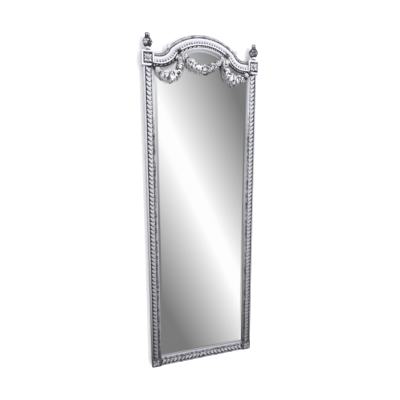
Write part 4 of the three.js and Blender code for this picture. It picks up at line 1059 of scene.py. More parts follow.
# %% Crest strips
def tube(path, radii, sides=10, relief=0.9):
    """A closed tube through 3-D points, one radius for each of them."""
    points = np.asarray(path, float)
    along = np.gradient(points, axis=0)
    along /= np.linalg.norm(along, axis=1)[:, None]
    side = np.cross(along[0], (0.0, 1.0, 0.0) if abs(along[0][1]) < 0.9 else (1.0, 0.0, 0.0))
    rings = []
    for point, way, radius in zip(points, along, radii):
        side = side - way * side.dot(way)
        side /= np.linalg.norm(side)
        up = np.cross(way, side)
        spins = [math.tau * i / sides for i in range(sides)]
        rings.append([point + radius * (side * math.cos(a) + up * math.sin(a)) for a in spins])
    return skin(rings, relief)


def tongue_and_dart():
    # The groove, larger than the tongue and almost black, is a sunk hollow with painted shadow
    # round the tongue.
    groove = leaf(11.4 * MM, 7.6 * MM, bend=-0.05, cup=-0.1, rib=0.0, thick=0.8 * MM, blunt=0.95)
    tongue = leaf(
        6.4 * MM, 2.4 * MM, bend=-0.05, cup=-0.4, rib=0.2, thick=1 * MM, blunt=0.8, base=0.9
    )
    inwards = turn("Z", 90)
    return gathered([
        groove.moved(shift(5.7, 0, 1.6) @ inwards, 0.05),
        tongue.moved(shift(5.4, 0, 2.4) @ inwards),
    ])


def ribbon_pass(length, width, slant):
    """One visible pass of the ribbon over its stick, slanted to the moulding."""
    band = leaf(length, width, bend=0.0, cup=-0.5, rib=0.0, thick=1.4 * MM, blunt=0.5, base=0.85)
    return band.moved(turn("Z", slant) @ Matrix.Translation((0, -length / 2, 2.4 * MM)))


dart_piece = pattern_piece("tongue_and_dart", tongue_and_dart())
pearl_piece = pattern_piece(
    "pearl", bead(3.4 * MM, 4.9 * MM, 2.4 * MM, sides=10, rows=5).moved(Matrix(), 0.5)
)
long_pass = pattern_piece("long_pass", ribbon_pass(17.5 * MM, 4 * MM, 12))
steep_pass = pattern_piece("steep_pass", ribbon_pass(9.5 * MM, 3.2 * MM, -56))
DART_PITCH, PEARL_PITCH, LONG_PITCH, STEEP_PITCH = (pitch * MM for pitch in (13.5, 11.5, 19, 10))


def stick_and_ribbon(name, path, passes, pitch, tone):
    """The dark stick in the channel and the bright passes of the ribbon wound round it."""
    stick = new_object(
        name + "_stick", tube(path, [1.7 * MM] * len(path), 8, 0.15), [silver_carved]
    )
    wound = along_path(
        name + "_passes", path, passes, pitch, silver_carved, seed=4, unevenness=0.02
    )
    return joined(name, stick, dimmed(wound, tone))


print("dart, pearl and two ribbon passes drawn")

# %% [markdown]
# ## Laying the strips
#
# The strips lie on the floors of their channels. The arch's ribbon changes its passes
# once, left of the crown; the left shoulder's has the long ones and the right shoulder's
# the steep ones.

# %% Strips in their channels
DART_FLOOR, RIBBON_FLOOR = FRONT - 3.6 * MM, FRONT - 1 * MM
dart_middle, ribbon_middle = DART_START + DART / 2, RIBBON_START + RIBBON / 2
pearl_width = 9.6 * MM

arch_darts = in_plane(arch_path(dart_middle, trim=8 * MM), DART_FLOOR)
strip = along_path(
    "arch_darts", arch_darts, dart_piece, DART_PITCH, silver_carved, seed=2, unevenness=0.04
)
seat(strip, "arch_dart_strip", slot="silver_ornament")
arch_pearls = in_plane(arch_path(pearl_width, trim=4 * MM), FRONT - 0.2 * MM)
pearls = along_path("arch_pearls", arch_pearls, pearl_piece, PEARL_PITCH, silver_crest, seed=3)
seat(pearls, slot="silver_ornament")
ribbon_line = in_plane(arch_path(ribbon_middle, trim=12 * MM), RIBBON_FLOOR)
crown = len(ribbon_line) * 6 // 10
ribbon = joined(
    "arch_twist",
    stick_and_ribbon("right_run", ribbon_line[:crown], steep_pass, STEEP_PITCH, 0.95),
    stick_and_ribbon("left_run", ribbon_line[crown - 1:], long_pass, LONG_PITCH, 0.85),
)
seat(ribbon, "arch_ribbon", slot="silver_ornament")
for word, side in SIDES:
    darts = in_plane(shoulder_path(dart_middle, gap=5 * MM), DART_FLOOR)
    pearls = in_plane(shoulder_path(pearl_width, gap=3 * MM), FRONT - 0.2 * MM)
    twist = in_plane(
        shoulder_path(ribbon_middle, gap=12 * MM, start_x=SIGHT_HALF - 12 * MM), RIBBON_FLOOR
    )
    if side < 0:
        darts, pearls, twist = mirrored_path(darts), mirrored_path(pearls), mirrored_path(twist)
    strip = along_path(
        word + "_darts", darts, dart_piece, DART_PITCH, silver_carved, seed=side + 12,
        unevenness=0.04
    )
    seat(strip, word + "_shoulder_dart_strip", slot="silver_ornament")
    row = along_path(
        word + "_pearls", pearls, pearl_piece, PEARL_PITCH, silver_crest, seed=side + 14
    )
    seat(row, slot="silver_ornament")
    style = (long_pass, LONG_PITCH, 0.5) if side < 0 else (steep_pass, STEEP_PITCH, 0.85)
    seat(
        stick_and_ribbon(word + "_twist", twist, *style), word + "_shoulder_ribbon",
        slot="silver_ornament"
    )
print("pearls, darts and ribbons follow arch and shoulders")

# %% [markdown]
# ## Rosettes, foot leaves and ears
#
# The top blocks carry a rosette sunk in their panel, the foot blocks a flat leaf of four
# lobes, and the crest's break is hidden by a small scroll. These are single carvings, so
# they are set in place directly and not by a tree.

# %% Block carvings
def carved_pair(node, suffix, shape_for, finish):
    """The left and the right carving of a kind, each set where its CAD node lies."""
    low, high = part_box("right_" + node)
    middle = (low + high) / 2
    for word, side in SIDES:
        place = front_view(side * middle.x, middle.z, high.y)
        piece = new_object(word + suffix, shape_for(side).moved(place), [finish])
        seat(piece, word + "_" + node, slot="silver_ornament")


def panel_rosette(seed):
    """Long leaves to the corners, shorter ones between, and an open flower in the middle."""
    random = np.random.default_rng(30 + seed)
    parts = []
    for i in range(8):
        length = (24 if i % 2 else 19) * MM * random.uniform(0.94, 1.04)
        petal = leaf(
            length, 11.5 * MM, bend=-0.25, cup=-0.5, rib=0.5, thick=1.3 * MM, blunt=0.45, base=0.35
        )
        lift = shift(0, 0, 3.2 if i % 2 else 2.2) @ turn("X", 6)
        parts.append(
            petal.moved(turn("Z", 45 * i + random.uniform(-5, 5)) @ lift, 1.0 if i % 2 else 0.72)
        )
    heart = blossom(9 * MM, seed=60 + seed, whorls=((6, 1.0, 16), (4, 0.55, 52)))
    parts.append(bead(10 * MM, 10 * MM, 1.4 * MM, sides=16).moved(shift(0, 0, 3.6), 0.1))
    parts.append(heart.moved(shift(0, 0, 4), 0.9))
    return gathered(parts)


def foot_rosette(_):
    lobe = leaf(23 * MM, 15 * MM, bend=0.25, cup=-0.35, rib=0.4, thick=1.2 * MM, blunt=0.25)
    small = leaf(15 * MM, 9 * MM, bend=0.2, cup=-0.35, rib=0.4, thick=1.2 * MM)
    lift = shift(0, 0, 2.2)
    parts = [lobe.moved(turn("Z", 45 + 90 * i) @ lift, 0.8) for i in range(4)]
    parts += [small.moved(turn("Z", 90 * i) @ shift(0, 2, 1.8), 0.55) for i in range(4)]
    parts.append(bead(4 * MM, 4 * MM, 3 * MM).moved(shift(0, 0, 2.4)))
    return gathered(parts)


def scroll(side):
    """A rolled leaf end, drawn flat round the origin, its tail towards the arch."""
    path = []
    radii = []
    for step in range(26):
        t = step / 25
        angle = math.radians(200 - 430 * t)
        reach = (8.2 - 6.2 * t) * MM
        path.append((reach * math.cos(angle), reach * math.sin(angle), (2.6 + 1.2 * t) * MM))
        radii.append((1.8 + 1.2 * math.sin(math.pi * min(1, t * 1.3 + 0.12))) * MM)
    eye_bead = bead(2.8 * MM, 2.8 * MM, 2.4 * MM).moved(shift(0, 0, 4.2))
    back = bead(10 * MM, 10 * MM, 3 * MM, sides=20)
    # The back disc's rim is almost black: a painted shadow round the scroll.
    back.relief = np.where(
        np.hypot(back.points[:, 0], back.points[:, 1] + 2 * MM) > 8.6 * MM, 0.05, 0.6
    )
    rolled = gathered([tube(path, radii, 8, 0.7), eye_bead, back])
    return rolled if side > 0 else rolled.moved(MIRRORED)


carved_pair("block_rosette", "_rosette", panel_rosette, silver_crest)
carved_pair("foot_leaf", "_foot_carving", foot_rosette, silver_carved)
carved_pair("ear", "_scroll", scroll, silver_crest)
print("rosettes, foot leaves and scrolls set")

# %% [markdown]
# ## Finials
#
# A turned stem stands on each top block and carries a bud. The bud is a dark ball with
# rows of overlapping scales that hang from a blunt, fluted cap. The scales are planted on
# the ball's profile by the point tree, each turned to lie on the slope under it.

# %% Finials
def lathe(profile, sides=32, relief=0.9, lobes=0, lobe_depth=0.0):
    """Rings round the Z axis from (radius, height) pairs; lobes flute them."""
    rings = []
    for radius, height in profile:
        spins = [math.tau * i / sides for i in range(sides)]
        reach = [radius * (1 - lobe_depth * (0.5 - 0.5 * math.cos(lobes * a))) for a in spins]
        rings.append([(r * math.cos(a), r * math.sin(a), height) for r, a in zip(reach, spins)])
    tones = np.broadcast_to(np.asarray(relief, float).reshape(-1, 1), (len(profile), sides))
    if lobes:
        flutes = [math.cos(lobes * math.tau * i / sides) for i in range(sides)]
        tones = tones * np.array([0.65 + 0.35 * (0.5 + 0.5 * flute) for flute in flutes])
    return skin(rings, tones)


stem_low, stem_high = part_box("right_finial_stem")
bud_low, bud_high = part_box("right_finial_bud")
FINIAL_AXIS = ((stem_low.x + stem_high.x) / 2, (stem_low.y + stem_high.y) / 2)
BUD_RADIUS = (bud_high.x - bud_low.x) / 2
BUD_TOP = bud_high.z - bud_low.z
BALL_TOP = 43 * MM
STEM_TOP = 16


def bud_radius(height):
    """The ball's radius at a height above the bud's foot."""
    rows = [0, 0.07, 0.14, 0.24, 0.36, 0.48, 0.58, 0.7, 0.82, 0.92, 1]
    outs = [0.44, 0.6, 0.74, 0.86, 0.95, 0.99, 1, 0.97, 0.87, 0.71, 0.5]
    return BUD_RADIUS * 0.95 * float(np.interp(height / BALL_TOP, rows, outs))


stem_profile = [
    (4, -14), (4, 0.2), (14, 0.2), (14, 2.2), (12.6, 4.2), (10.4, 6), (9.2, 8), (9, 11), (9.6, 14),
    (11, STEM_TOP)
]
stem_tones = [0.2, 0.2, 0.1, 0.15, 0.4, 0.8, 1.0, 1.0, 0.9, 0.1]
scale_piece = pattern_piece(
    "scale", leaf(
        14 * MM, 15 * MM, bend=-0.45, cup=-0.35, rib=0.3, thick=1.8 * MM, blunt=0.4, base=0.6
    )
)
for word, side in SIDES:
    axis = Matrix.Translation((side * FINIAL_AXIS[0], FINIAL_AXIS[1], 0))
    turned = lathe([(r * MM, BLOCK_TOP + h * MM) for r, h in stem_profile], relief=stem_tones)
    seat(
        new_object(word + "_turned_stem", turned.moved(axis), [silver_crest]),
        word + "_finial_stem", slot="silver_ornament"
    )

    foot = Matrix.Translation((0, 0, bud_low.z))
    heights = [BALL_TOP * i / 11 for i in range(12)]
    core = lathe([(bud_radius(h) * 0.94, h) for h in heights], relief=0.16)
    cap_profile = [
        (0.4, 0), (0.5, 0.08), (0.51, 0.2), (0.45, 0.3), (0.49, 0.42), (0.51, 0.7), (0.47, 0.88),
        (0.34, 0.97), (0.03, 1.0)
    ]
    cap_height = BUD_TOP - BALL_TOP + 3 * MM
    cap = lathe(
        [(r * BUD_RADIUS, BALL_TOP - 3 * MM + h * cap_height) for r, h in cap_profile],
        relief=[0.1, 0.4, 0.45, 0.1, 0.5, 0.5, 0.42, 0.4, 0.4], lobes=6, lobe_depth=0.1,
    )
    base = new_object(
        word + "_bud_core", gathered([core, cap]).moved(axis @ foot), [silver_carved]
    )
    places = []
    random = np.random.default_rng(40 + side)
    for row in range(4):
        height = (15 + 9.2 * row) * MM
        slope = (bud_radius(height + 2 * MM) - bud_radius(height - 2 * MM)) / (4 * MM)
        for i in range(9):
            around = turn("Z", 40 * (i + row / 2) + random.uniform(-3, 3))
            out = Matrix.Translation((0, -bud_radius(height) * 0.94 - 1.2 * MM, height))
            hang = turn("Z", 180) @ turn("X", -84 - math.degrees(math.atan(slope)))
            # The lowest row is darker: painted shade under the ball.
            tone = random.choice([0.42, 0.55, 0.7]) * (0.6 if row == 0 else 1.0)
            places.append((axis @ foot @ around @ out @ hang, random.uniform(0.94, 1.0), tone))
    scales = on_points(word + "_bud_scales", places, scale_piece, silver_carved)
    seat(joined(word + "_bud", base, scales), word + "_finial_bud", slot="silver_ornament")
print("finials stand", round((bud_high.z - BLOCK_TOP) / MM), "mm above the blocks")

# %% [markdown]
# ## Garlands
#
# Festoons hang from the two arch knots and the two corner knots. A festoon is built like
# the real cast one: a dark core along the sagging line, laurel leaves planted round it with
# their tips down the slope, roses on the front, and berries between. The core's radius
# swells towards the middle of the sag. Tones differ from leaf to leaf, because the silver
# is rubbed bright on some and black with wax on others.

# %% Festoon tools
def smooth_line(points, step=3 * MM):
    """A Catmull-Rom line through 3-D points, sampled evenly."""
    knots = [Vector(p) for p in points]
    knots = [2 * knots[0] - knots[1]] + knots + [2 * knots[-1] - knots[-2]]
    line = []
    for a, b, c, d in zip(knots, knots[1:], knots[2:], knots[3:]):
        count = max(2, int((c - b).length / step))
        for i in range(count):
            t = i / count
            square = 2 * a - 5 * b + 4 * c - d
            cube = 3 * b - a - 3 * c + d
            line.append(0.5 * (2 * b + (c - a) * t + square * t**2 + cube * t**3))
    return line + [knots[-2]]


garland_leaf = pattern_piece(
    "garland_leaf",
    leaf(24 * MM, 16 * MM, bend=0.7, cup=-0.3, rib=0.2, thick=1.3 * MM, blunt=0.5, base=0.9),
)
OPEN_ROSE = ((5, 1.0, 8), (4, 0.62, 34), (3, 0.36, 62))
roses = [
    pattern_piece(f"rose_{seed}", blossom(10 * MM, seed=seed, whorls=OPEN_ROSE)) for seed in (1, 2)
]
bud_bead = pattern_piece("berry", bead(3.4 * MM, 3.4 * MM, 3.8 * MM, sides=8, rows=5))
GARLAND_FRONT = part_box("middle_garland")[0].y
LEAF_STEP, LEAF_SEAT = 10 * MM, 0.56  # along the line, and the share of the radius they sit at
LEAF_SPINS = ((-102, -50, 2, 56, 112), (-128, -76, -26, 28, 84))  # degrees off the front
LEAF_TONES = [0.4, 0.5, 1.1, 1.1, 1.1, 1.1]
CORE_SHARE, CORE_TONE, ROSE_TONE, BERRIES = 0.62, 0.32, 1.2, 18
PRESSED_OVER = 3 * MM
FORWARD = Vector((0, -1, 0))


def shade_near_core(piece, line, radius):
    """Lowers the relief of points close to the garland's core: patina in the hollows and painted
    shade between the leaves.
    """
    mesh = piece.data
    spots = np.empty(len(mesh.vertices) * 3)
    mesh.vertices.foreach_get("co", spots)
    spots = spots.reshape(-1, 3)
    away = np.linalg.norm(spots[:, None] - line[None], axis=2)
    nearest = away.argmin(axis=1)
    height = away.min(axis=1) / radius[nearest]
    tones = np.empty(len(mesh.vertices), np.float32)
    mesh.attributes["relief"].data.foreach_get("value", tones)
    # Patina and painted shade: darker the closer a point lies to the core.
    tones *= np.clip((height - 0.52) / 0.34, 0.2, 1.0).astype(np.float32)
    # The side against the glass is never waxed: the glass shows it pale.
    behind = np.clip((spots[:, 1] - line[nearest, 1]) / radius[nearest] * 2.5, 0, 1)
    tones = (tones + (1.3 - tones) * behind).astype(np.float32)
    mesh.attributes["relief"].data.foreach_set("value", tones)


print("garland pieces:", len(garland_leaf.data.polygons), "faces a leaf,",
      len(roses[0].data.polygons), "a rose")

# %% [markdown]
# ## Leaves, roses and berries on a line
#
# Leaves sit in rings round the core, five to a ring, and lean away from it. Roses are put
# where the eye expects them, on the front, and berries fall at random between. Random
# numbers come from one seeded source for each festoon, so that every run gives the same
# garland.

# %% Places on a festoon
def leaf_places(line, radius, falls_to, random):
    """Rings of leaves round the line, tips down the slope on both sides of falls_to."""
    places = []
    travelled, row = LEAF_STEP, 0
    for i in range(1, len(line) - 1):
        way = (line[i + 1] - line[i - 1]).normalized()
        travelled += (line[i] - line[i - 1]).length
        if travelled < LEAF_STEP / 2:
            continue
        travelled = 0.0
        row += 1
        down = way if i / len(line) < falls_to else -way
        aside = down.cross(FORWARD).normalized()
        for spin in LEAF_SPINS[row % 2]:
            angle = math.radians(spin + random.uniform(-10, 10))
            out = (FORWARD * math.cos(angle) + aside * math.sin(angle)).normalized()
            lean = math.radians(random.uniform(8, 20))
            ahead = (down * math.cos(lean) + out * math.sin(lean)).normalized()
            face = (out * math.cos(lean) - down * math.sin(lean)).normalized()
            basis = Matrix((ahead.cross(face), ahead, face)).transposed().to_4x4()
            root = line[i] + out * radius[i] * LEAF_SEAT - down * 5 * MM
            size = random.uniform(0.85, 1.1) * (0.5 + 0.5 * radius[i] / max(radius))
            places.append((Matrix.Translation(root) @ basis, size, random.choice(LEAF_TONES)))
    return places


def rose_places(line, roses_at, random):
    """roses_at: (share of the line, shift in x and z, radius), in millimetres."""
    spots = []
    for share, shift_x, shift_z, size in roses_at:
        at = line[int(share * (len(line) - 1))] + Vector((shift_x * MM, 0, shift_z * MM))
        at.y = GARLAND_FRONT + 8 * MM
        tilt = turn("Y", random.uniform(-14, 14)) @ turn("X", 90 + random.uniform(-16, 10))
        spots.append((Matrix.Translation(at) @ tilt, size / 9, ROSE_TONE))
    return spots


def berry_places(line, radius, random):
    spots = []
    for _ in range(BERRIES):
        i = random.integers(2, len(line) - 2)
        spin = random.uniform(-1.4, 1.4)
        at = line[i] + Vector((0, -math.cos(spin), math.sin(spin))) * radius[i] * 0.72
        size = random.uniform(0.7, 1.1)
        spots.append((Matrix.Translation(at), size, random.choice([0.5, 1.0])))
    return spots


print("leaves stand every", round(LEAF_STEP / MM), "mm")

# %% [markdown]
# ## One festoon
#
# The parts are grown, joined and darkened near the core. What would stand proud of the
# garland's front is pressed in at last, so that the dressed mirror is no deeper than the
# packed one.

# %% A whole festoon
def pressed_in(piece):
    """Presses in what would stand proud of the garland's front, the highest the most."""
    for vertex in piece.data.vertices:
        depth = (vertex.co.y - GARLAND_FRONT) / PRESSED_OVER
        if depth < 1:
            vertex.co.y = GARLAND_FRONT + PRESSED_OVER * math.exp(depth - 1)


def festoon(name, points, thick, roses_at, falls_to, seed):
    """points: the line as x, y, z; thick: the radius along it, in millimetres too."""
    random = np.random.default_rng(seed)
    line = smooth_line([tuple(value * MM for value in point) for point in points])
    count = len(line)
    shares = np.linspace(0, 1, len(thick))
    radius = np.interp(np.linspace(0, 1, count), shares, [value * MM for value in thick])
    bumps = 1 + 0.12 * np.sin(np.arange(count) * 1.7) + random.uniform(-0.06, 0.06, count)
    core = tube(line, radius * CORE_SHARE * bumps, 9, CORE_TONE)
    parts = [new_object(name + "_core", core, [silver_carved])]
    places = leaf_places(line, radius, falls_to, random)
    parts.append(on_points(name + "_leaves", places, garland_leaf, silver_carved))
    for which, pattern in enumerate(roses):
        spots = rose_places(line, roses_at[which::2], random)
        parts.append(on_points(f"{name}_roses_{which}", spots, pattern, silver_carved))
    spots = berry_places(line, radius, random)
    parts.append(on_points(name + "_berries", spots, bud_bead, silver_carved))
    piece = joined(name, *parts)
    shade_near_core(piece, np.array(line), radius)
    pressed_in(piece)
    return piece


print("a festoon can now be grown")

# %% [markdown]
# ## The three lines
#
# A festoon needs its sagging line, its thickness and the places of its roses. The side
# ones share a line, drawn for the left side and mirrored for the right, whose swag hangs a
# little higher on the real mirror.

# %% Three festoons
MIDDLE_LINE = [
    (-121, -14, 1704), (-98, -15, 1683), (-78, -16, 1664), (-50, -17, 1647), (-20, -17, 1637),
    (8, -17, 1635), (35, -17, 1641), (62, -16, 1655), (86, -15, 1675), (120, -14, 1704),
]
SIDE_LINE = [
    (-250, -9, 1624), (-234, -14, 1606), (-208, -16, 1593), (-182, -17, 1587), (-156, -17, 1593),
    (-134, -16, 1610), (-122, -16, 1638), (-122, -15, 1690),
]
middle_roses = [
    (0.13, 0, 4, 10), (0.27, 2, 5, 15), (0.41, 0, -3, 12), (0.52, 0, 6, 13), (0.6, 0, -8, 10),
    (0.68, 0, 5, 13), (0.8, 2, 0, 13), (0.91, 0, 2, 10),
]
side_roses = [
    (0.1, 4, 2, 11), (0.22, 2, -4, 12), (0.33, 0, 8, 14), (0.44, 0, -10, 13), (0.5, 0, 8, 14),
    (0.6, 4, -4, 13), (0.7, -2, 4, 12), (0.8, 3, 0, 11), (0.9, -2, 0, 10),
]
middle_thick, side_thick = (8, 13, 18, 17, 16, 16, 15, 15, 13, 8), (8, 14, 19, 22, 21, 18, 15, 9)
middle = festoon("middle_festoon", MIDDLE_LINE, middle_thick, middle_roses, 0.5, 7)
seat(middle, "middle_garland", slot="silver_ornament")
for word, side in SIDES:
    lift = 5 if side > 0 else -1
    line = [(x * -side, y, z + lift) for x, y, z in SIDE_LINE]
    spots = [(share, across * -side, rise, size) for share, across, rise, size in side_roses]
    piece = festoon(word + "_festoon", line, side_thick, spots, 0.4, 21 + side)
    seat(piece, word + "_garland", slot="silver_ornament")

# %% [markdown]
# ## Knots
#
# Each arch knot is a flat rose with five long leaves hanging from it. The corner knots are
# dark leaf clusters over the joint of shoulder and stile.

# %% Knots
def pointed(start, end, width, y, tone, bend=0.3, depth=1.4 * MM):
    """A long leaf between two x, z points in millimetres, its face to the front."""
    (x0, z0), (x1, z1) = start, end
    length = math.hypot(x1 - x0, z1 - z0) * MM
    roll = math.degrees(math.atan2(z1 - z0, x1 - x0)) - 90
    blade = leaf(length, width * MM, bend=bend, cup=-0.45, rib=0.4, thick=depth, along=9)
    return blade.moved(front_view(x0 * MM, z0 * MM, y * MM, roll), tone)


def knot_hangings(dark_tone):
    """Drawn for the left knot at about x -125, z 1708."""
    return gathered([
        pointed((-126, 1703), (-130, 1654), 11, -20, 1.0),
        pointed((-119, 1702), (-103, 1652), 14, -22, dark_tone),
        pointed((-113, 1698), (-104, 1660), 7, -24, 1.0),
        pointed((-116, 1704), (-93, 1684), 8, -21, 1.0),
        pointed((-130, 1701), (-145, 1666), 8, -18, 0.9),
    ])


def corner_cluster():
    """A dark diamond of leaves on a boss, drawn flat, with a bright berry in it."""
    parts = [bead(8 * MM, 10 * MM, 13 * MM, sides=16).moved(Matrix(), 0.15)]
    for i in range(8):
        length = (17 if i % 4 == 0 else 14 if i % 2 == 0 else 12) * MM
        blade = leaf(length, 10.5 * MM, bend=-0.2, cup=-0.3, rib=0.35, thick=1.4 * MM, blunt=0.2)
        parts.append(blade.moved(turn("Z", 45 * i) @ shift(0, 0, 13.5), 0.27))
    parts.append(bead(2.6 * MM, 2.6 * MM, 3 * MM).moved(shift(3, 2, 14), 0.8))
    return gathered(parts)


for word, side in SIDES:
    flower = blossom(12.5 * MM, seed=5 + side, whorls=((6, 1.0, 6), (5, 0.7, 30), (3, 0.42, 60)))
    at = front_view(side * ARCH_KNOT.x, ARCH_KNOT.z, knot_high.y - 0.5 * MM)
    hanging = knot_hangings(0.36) if side < 0 else knot_hangings(0.9).moved(MIRRORED)
    shape = gathered([flower.moved(at, 0.36 if side < 0 else 0.5), hanging])
    seat(
        new_object(word + "_arch_bow", shape, [silver_carved]), word + "_arch_knot",
        slot="silver_ornament"
    )
    place = front_view(side * (CORNER_KNOT.x + 3 * MM), CORNER_KNOT.y + 2 * MM, FRONT)
    seat(new_object(word + "_corner_cluster", corner_cluster().moved(place), [silver_carved]),
         word + "_corner_knot", slot="silver_ornament")
print("knots tied")

# %% [markdown]
# ## Bevelled glass
#
# One sheet of 5 mm glass, cut to the frame's inner line and silvered behind. Its edge is
# ground to a wide flat bevel, which throws back another part of the room than the middle
# does. The outline is drawn at several distances from the sight edge, and the loops are
# skinned: back edge, front edge, then the line where the bevel ends.

# %% Mirror glass
BEVEL_IN, GLASS_OUT, BEVEL_DROP = 13 * MM, 8.5 * MM, 1.5 * MM


def sight_loop(inset):
    """The x, z outline at a distance inside the sight edge, from the lower right corner up."""
    shoulder_radius = SHOULDER_RADIUS + CREST_WIDTH + inset
    arch_radius = ARCH_RADIUS - CREST_WIDTH - inset
    meet = circles_meet(SHOULDER_CENTRE, shoulder_radius, ARCH_CENTRE, arch_radius)
    side = SIGHT_HALF - inset
    half = [(side, STILE_WIDTH + inset), (side, SHOULDER_CENTRE.y - shoulder_radius)]
    half += arc(SHOULDER_CENTRE, shoulder_radius, -math.pi / 2, shoulder_end(meet), 24)
    half += arc(ARCH_CENTRE, arch_radius, angle_of(meet, ARCH_CENTRE), math.pi / 2, 40)[1:]
    return half + [(-x, z) for x, z in reversed(half[:-1])]


loops = [
    [(x, glass_high.y, z) for x, z in sight_loop(-GLASS_OUT)],
    [(x, GLASS_FRONT + BEVEL_DROP, z) for x, z in sight_loop(-GLASS_OUT)],
    [(x, GLASS_FRONT, z) for x, z in sight_loop(BEVEL_IN)],
]
glass = new_object("bevelled_glass", skin(loops, 1.0), [silvering], crease=1)
seat(glass, "mirror_glass", slot="mirror_glass")
print(
    "glass of", round((SIGHT_HALF + GLASS_OUT) * 2 / MM), "mm with", len(loops[0]),
    "points round its edge"
)

# %% [markdown]
# ## The back
#
# The board and its clips keep their shapes from the frame and only get their finish. The
# wood screws are planted by the point tree, the two rings are bent wire, and the bumpers
# are moulded discs with a screw well.

# %% Back fittings
def finish_nodes(material, *nodes):
    for node in nodes:
        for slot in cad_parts[node].material_slots:
            slot.material = material


clips = [
    "left_lower_clip", "right_lower_clip", "left_upper_clip", "right_upper_clip", "crest_clip"
]
finish_nodes(board_brown, "backing_board")
finish_nodes(steel, *clips, "left_hanger_strap", "right_hanger_strap")


def pan_head():
    """A screw head drawn facing +Z, slotted, its underside at zero, with the shank below."""
    profile = [
        (1.75, -14), (1.75, -0.02), (3.6, 0), (3.6, 0.7), (3.3, 1.3), (2.6, 1.7), (1.5, 1.95),
        (0.05, 2.0)
    ]
    head = lathe([(r * MM, h * MM) for r, h in profile], sides=18, relief=0.9)
    groove = np.abs(head.points[:, 0]) < 0.55 * MM
    head.points[:, 2] -= np.where(groove & (head.points[:, 2] > 0.8 * MM), 0.9 * MM, 0.0)
    return head


WIRE_RADIUS = 1.4 * MM
screw_piece = pattern_piece("screw", pan_head())
screws = [clip + "_screw" for clip in clips]
screws += [f"{word}_hanger_screw_{i}" for word, _ in SIDES for i in (1, 2)]
random = np.random.default_rng(90)
spots = []
for node in screws:
    low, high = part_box(node)
    at = ((low.x + high.x) / 2, high.y - 2 * MM, (low.z + high.z) / 2)
    spots.append(
        (Matrix.Translation(at) @ turn("X", -90) @ turn("Z", random.uniform(0, 180)), 1.0, 1.0)
    )
seat(on_points("back_screws", spots, screw_piece, steel), *screws, slot="zinc_steel")

for word, side in SIDES:
    low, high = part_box(word + "_hanger_ring")
    middle_x, axis_y, axis_z = (low.x + high.x) / 2, (low.y + high.y) / 2, high.z - WIRE_RADIUS
    half, drop, corner = 13.5 * MM, 20 * MM, 3 * MM
    outline = arc(Vector((half - corner, -corner)), corner, math.pi / 2, 0, 8)
    for step in range(1, 28):
        angle = -math.pi * step / 28
        outline.append((half * math.cos(angle), -corner + (drop - corner) * math.sin(angle)))
    outline += arc(Vector((corner - half, -corner)), corner, math.pi, math.pi / 2, 8)
    outline += [(-half + corner + (2 * half - 2 * corner) * i / 8, 0) for i in range(1, 8)]
    rings = []
    total = len(outline)
    for i, (x, z) in enumerate(outline):
        ahead, behind = outline[(i + 1) % total], outline[i - 1]
        way = Vector((ahead[0] - behind[0], 0, ahead[1] - behind[1])).normalized()
        out = way.cross(Vector((0, 1, 0)))
        centre = Vector((middle_x + x, axis_y, axis_z + z))
        spins = [math.tau * k / 12 for k in range(12)]
        spokes = [out * math.cos(a) + Vector((0, 1, 0)) * math.sin(a) for a in spins]
        rings.append([tuple(centre + WIRE_RADIUS * spoke) for spoke in spokes])
    ring = new_object(word + "_wire_ring", skin(rings, 0.9, loop=True), [steel])
    seat(ring, word + "_hanger_ring", body=word + "_ring", slot="zinc_steel")

    low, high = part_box(word + "_wall_bumper")
    bumper_profile = [
        (0.9, 0), (1, 0.05), (1, 0.5), (0.97, 0.7), (0.88, 0.9), (0.76, 1), (0.34, 1), (0.3, 0.6),
        (0.02, 0.6)
    ]
    radius, thick = (high.x - low.x) / 2, high.y - low.y
    disc = lathe([(r * radius, h * thick) for r, h in bumper_profile], sides=36)
    place = Matrix.Translation(
        ((low.x + high.x) / 2, low.y, (low.z + high.z) / 2)
    ) @ turn("X", -90)
    seat(
        new_object(word + "_bumper", disc.moved(place), [black_rubber]), word + "_wall_bumper",
        slot="bumper_rubber"
    )
for piece in patterns:  # no tree runs after this
    bpy.data.objects.remove(piece)
print("back fitted with", len(screws), "screws, two rings and two bumpers")

# %% [markdown]
# ## The studio
#
# The mirror hangs on a white wall, and its glass shows the room: a bright band that runs
# across a grey room from the upper left to the lower right, with a bluish ceiling that only
# the bevel under the arch can see. That room is the world's colour for glossy rays.

# %% Stage and light
BAND_SLOPE, BAND_PLACE, BAND_HALF, BAND_FADE = 0.469, 0.2047, 0.027, 1.75
ROOM_GREY, CEILING_FROM, RIGHT_WALL_FROM = 0.482, 0.40, 0.85
WALL_GLOW, FLOOR_GLOW = 0.12, 0.5


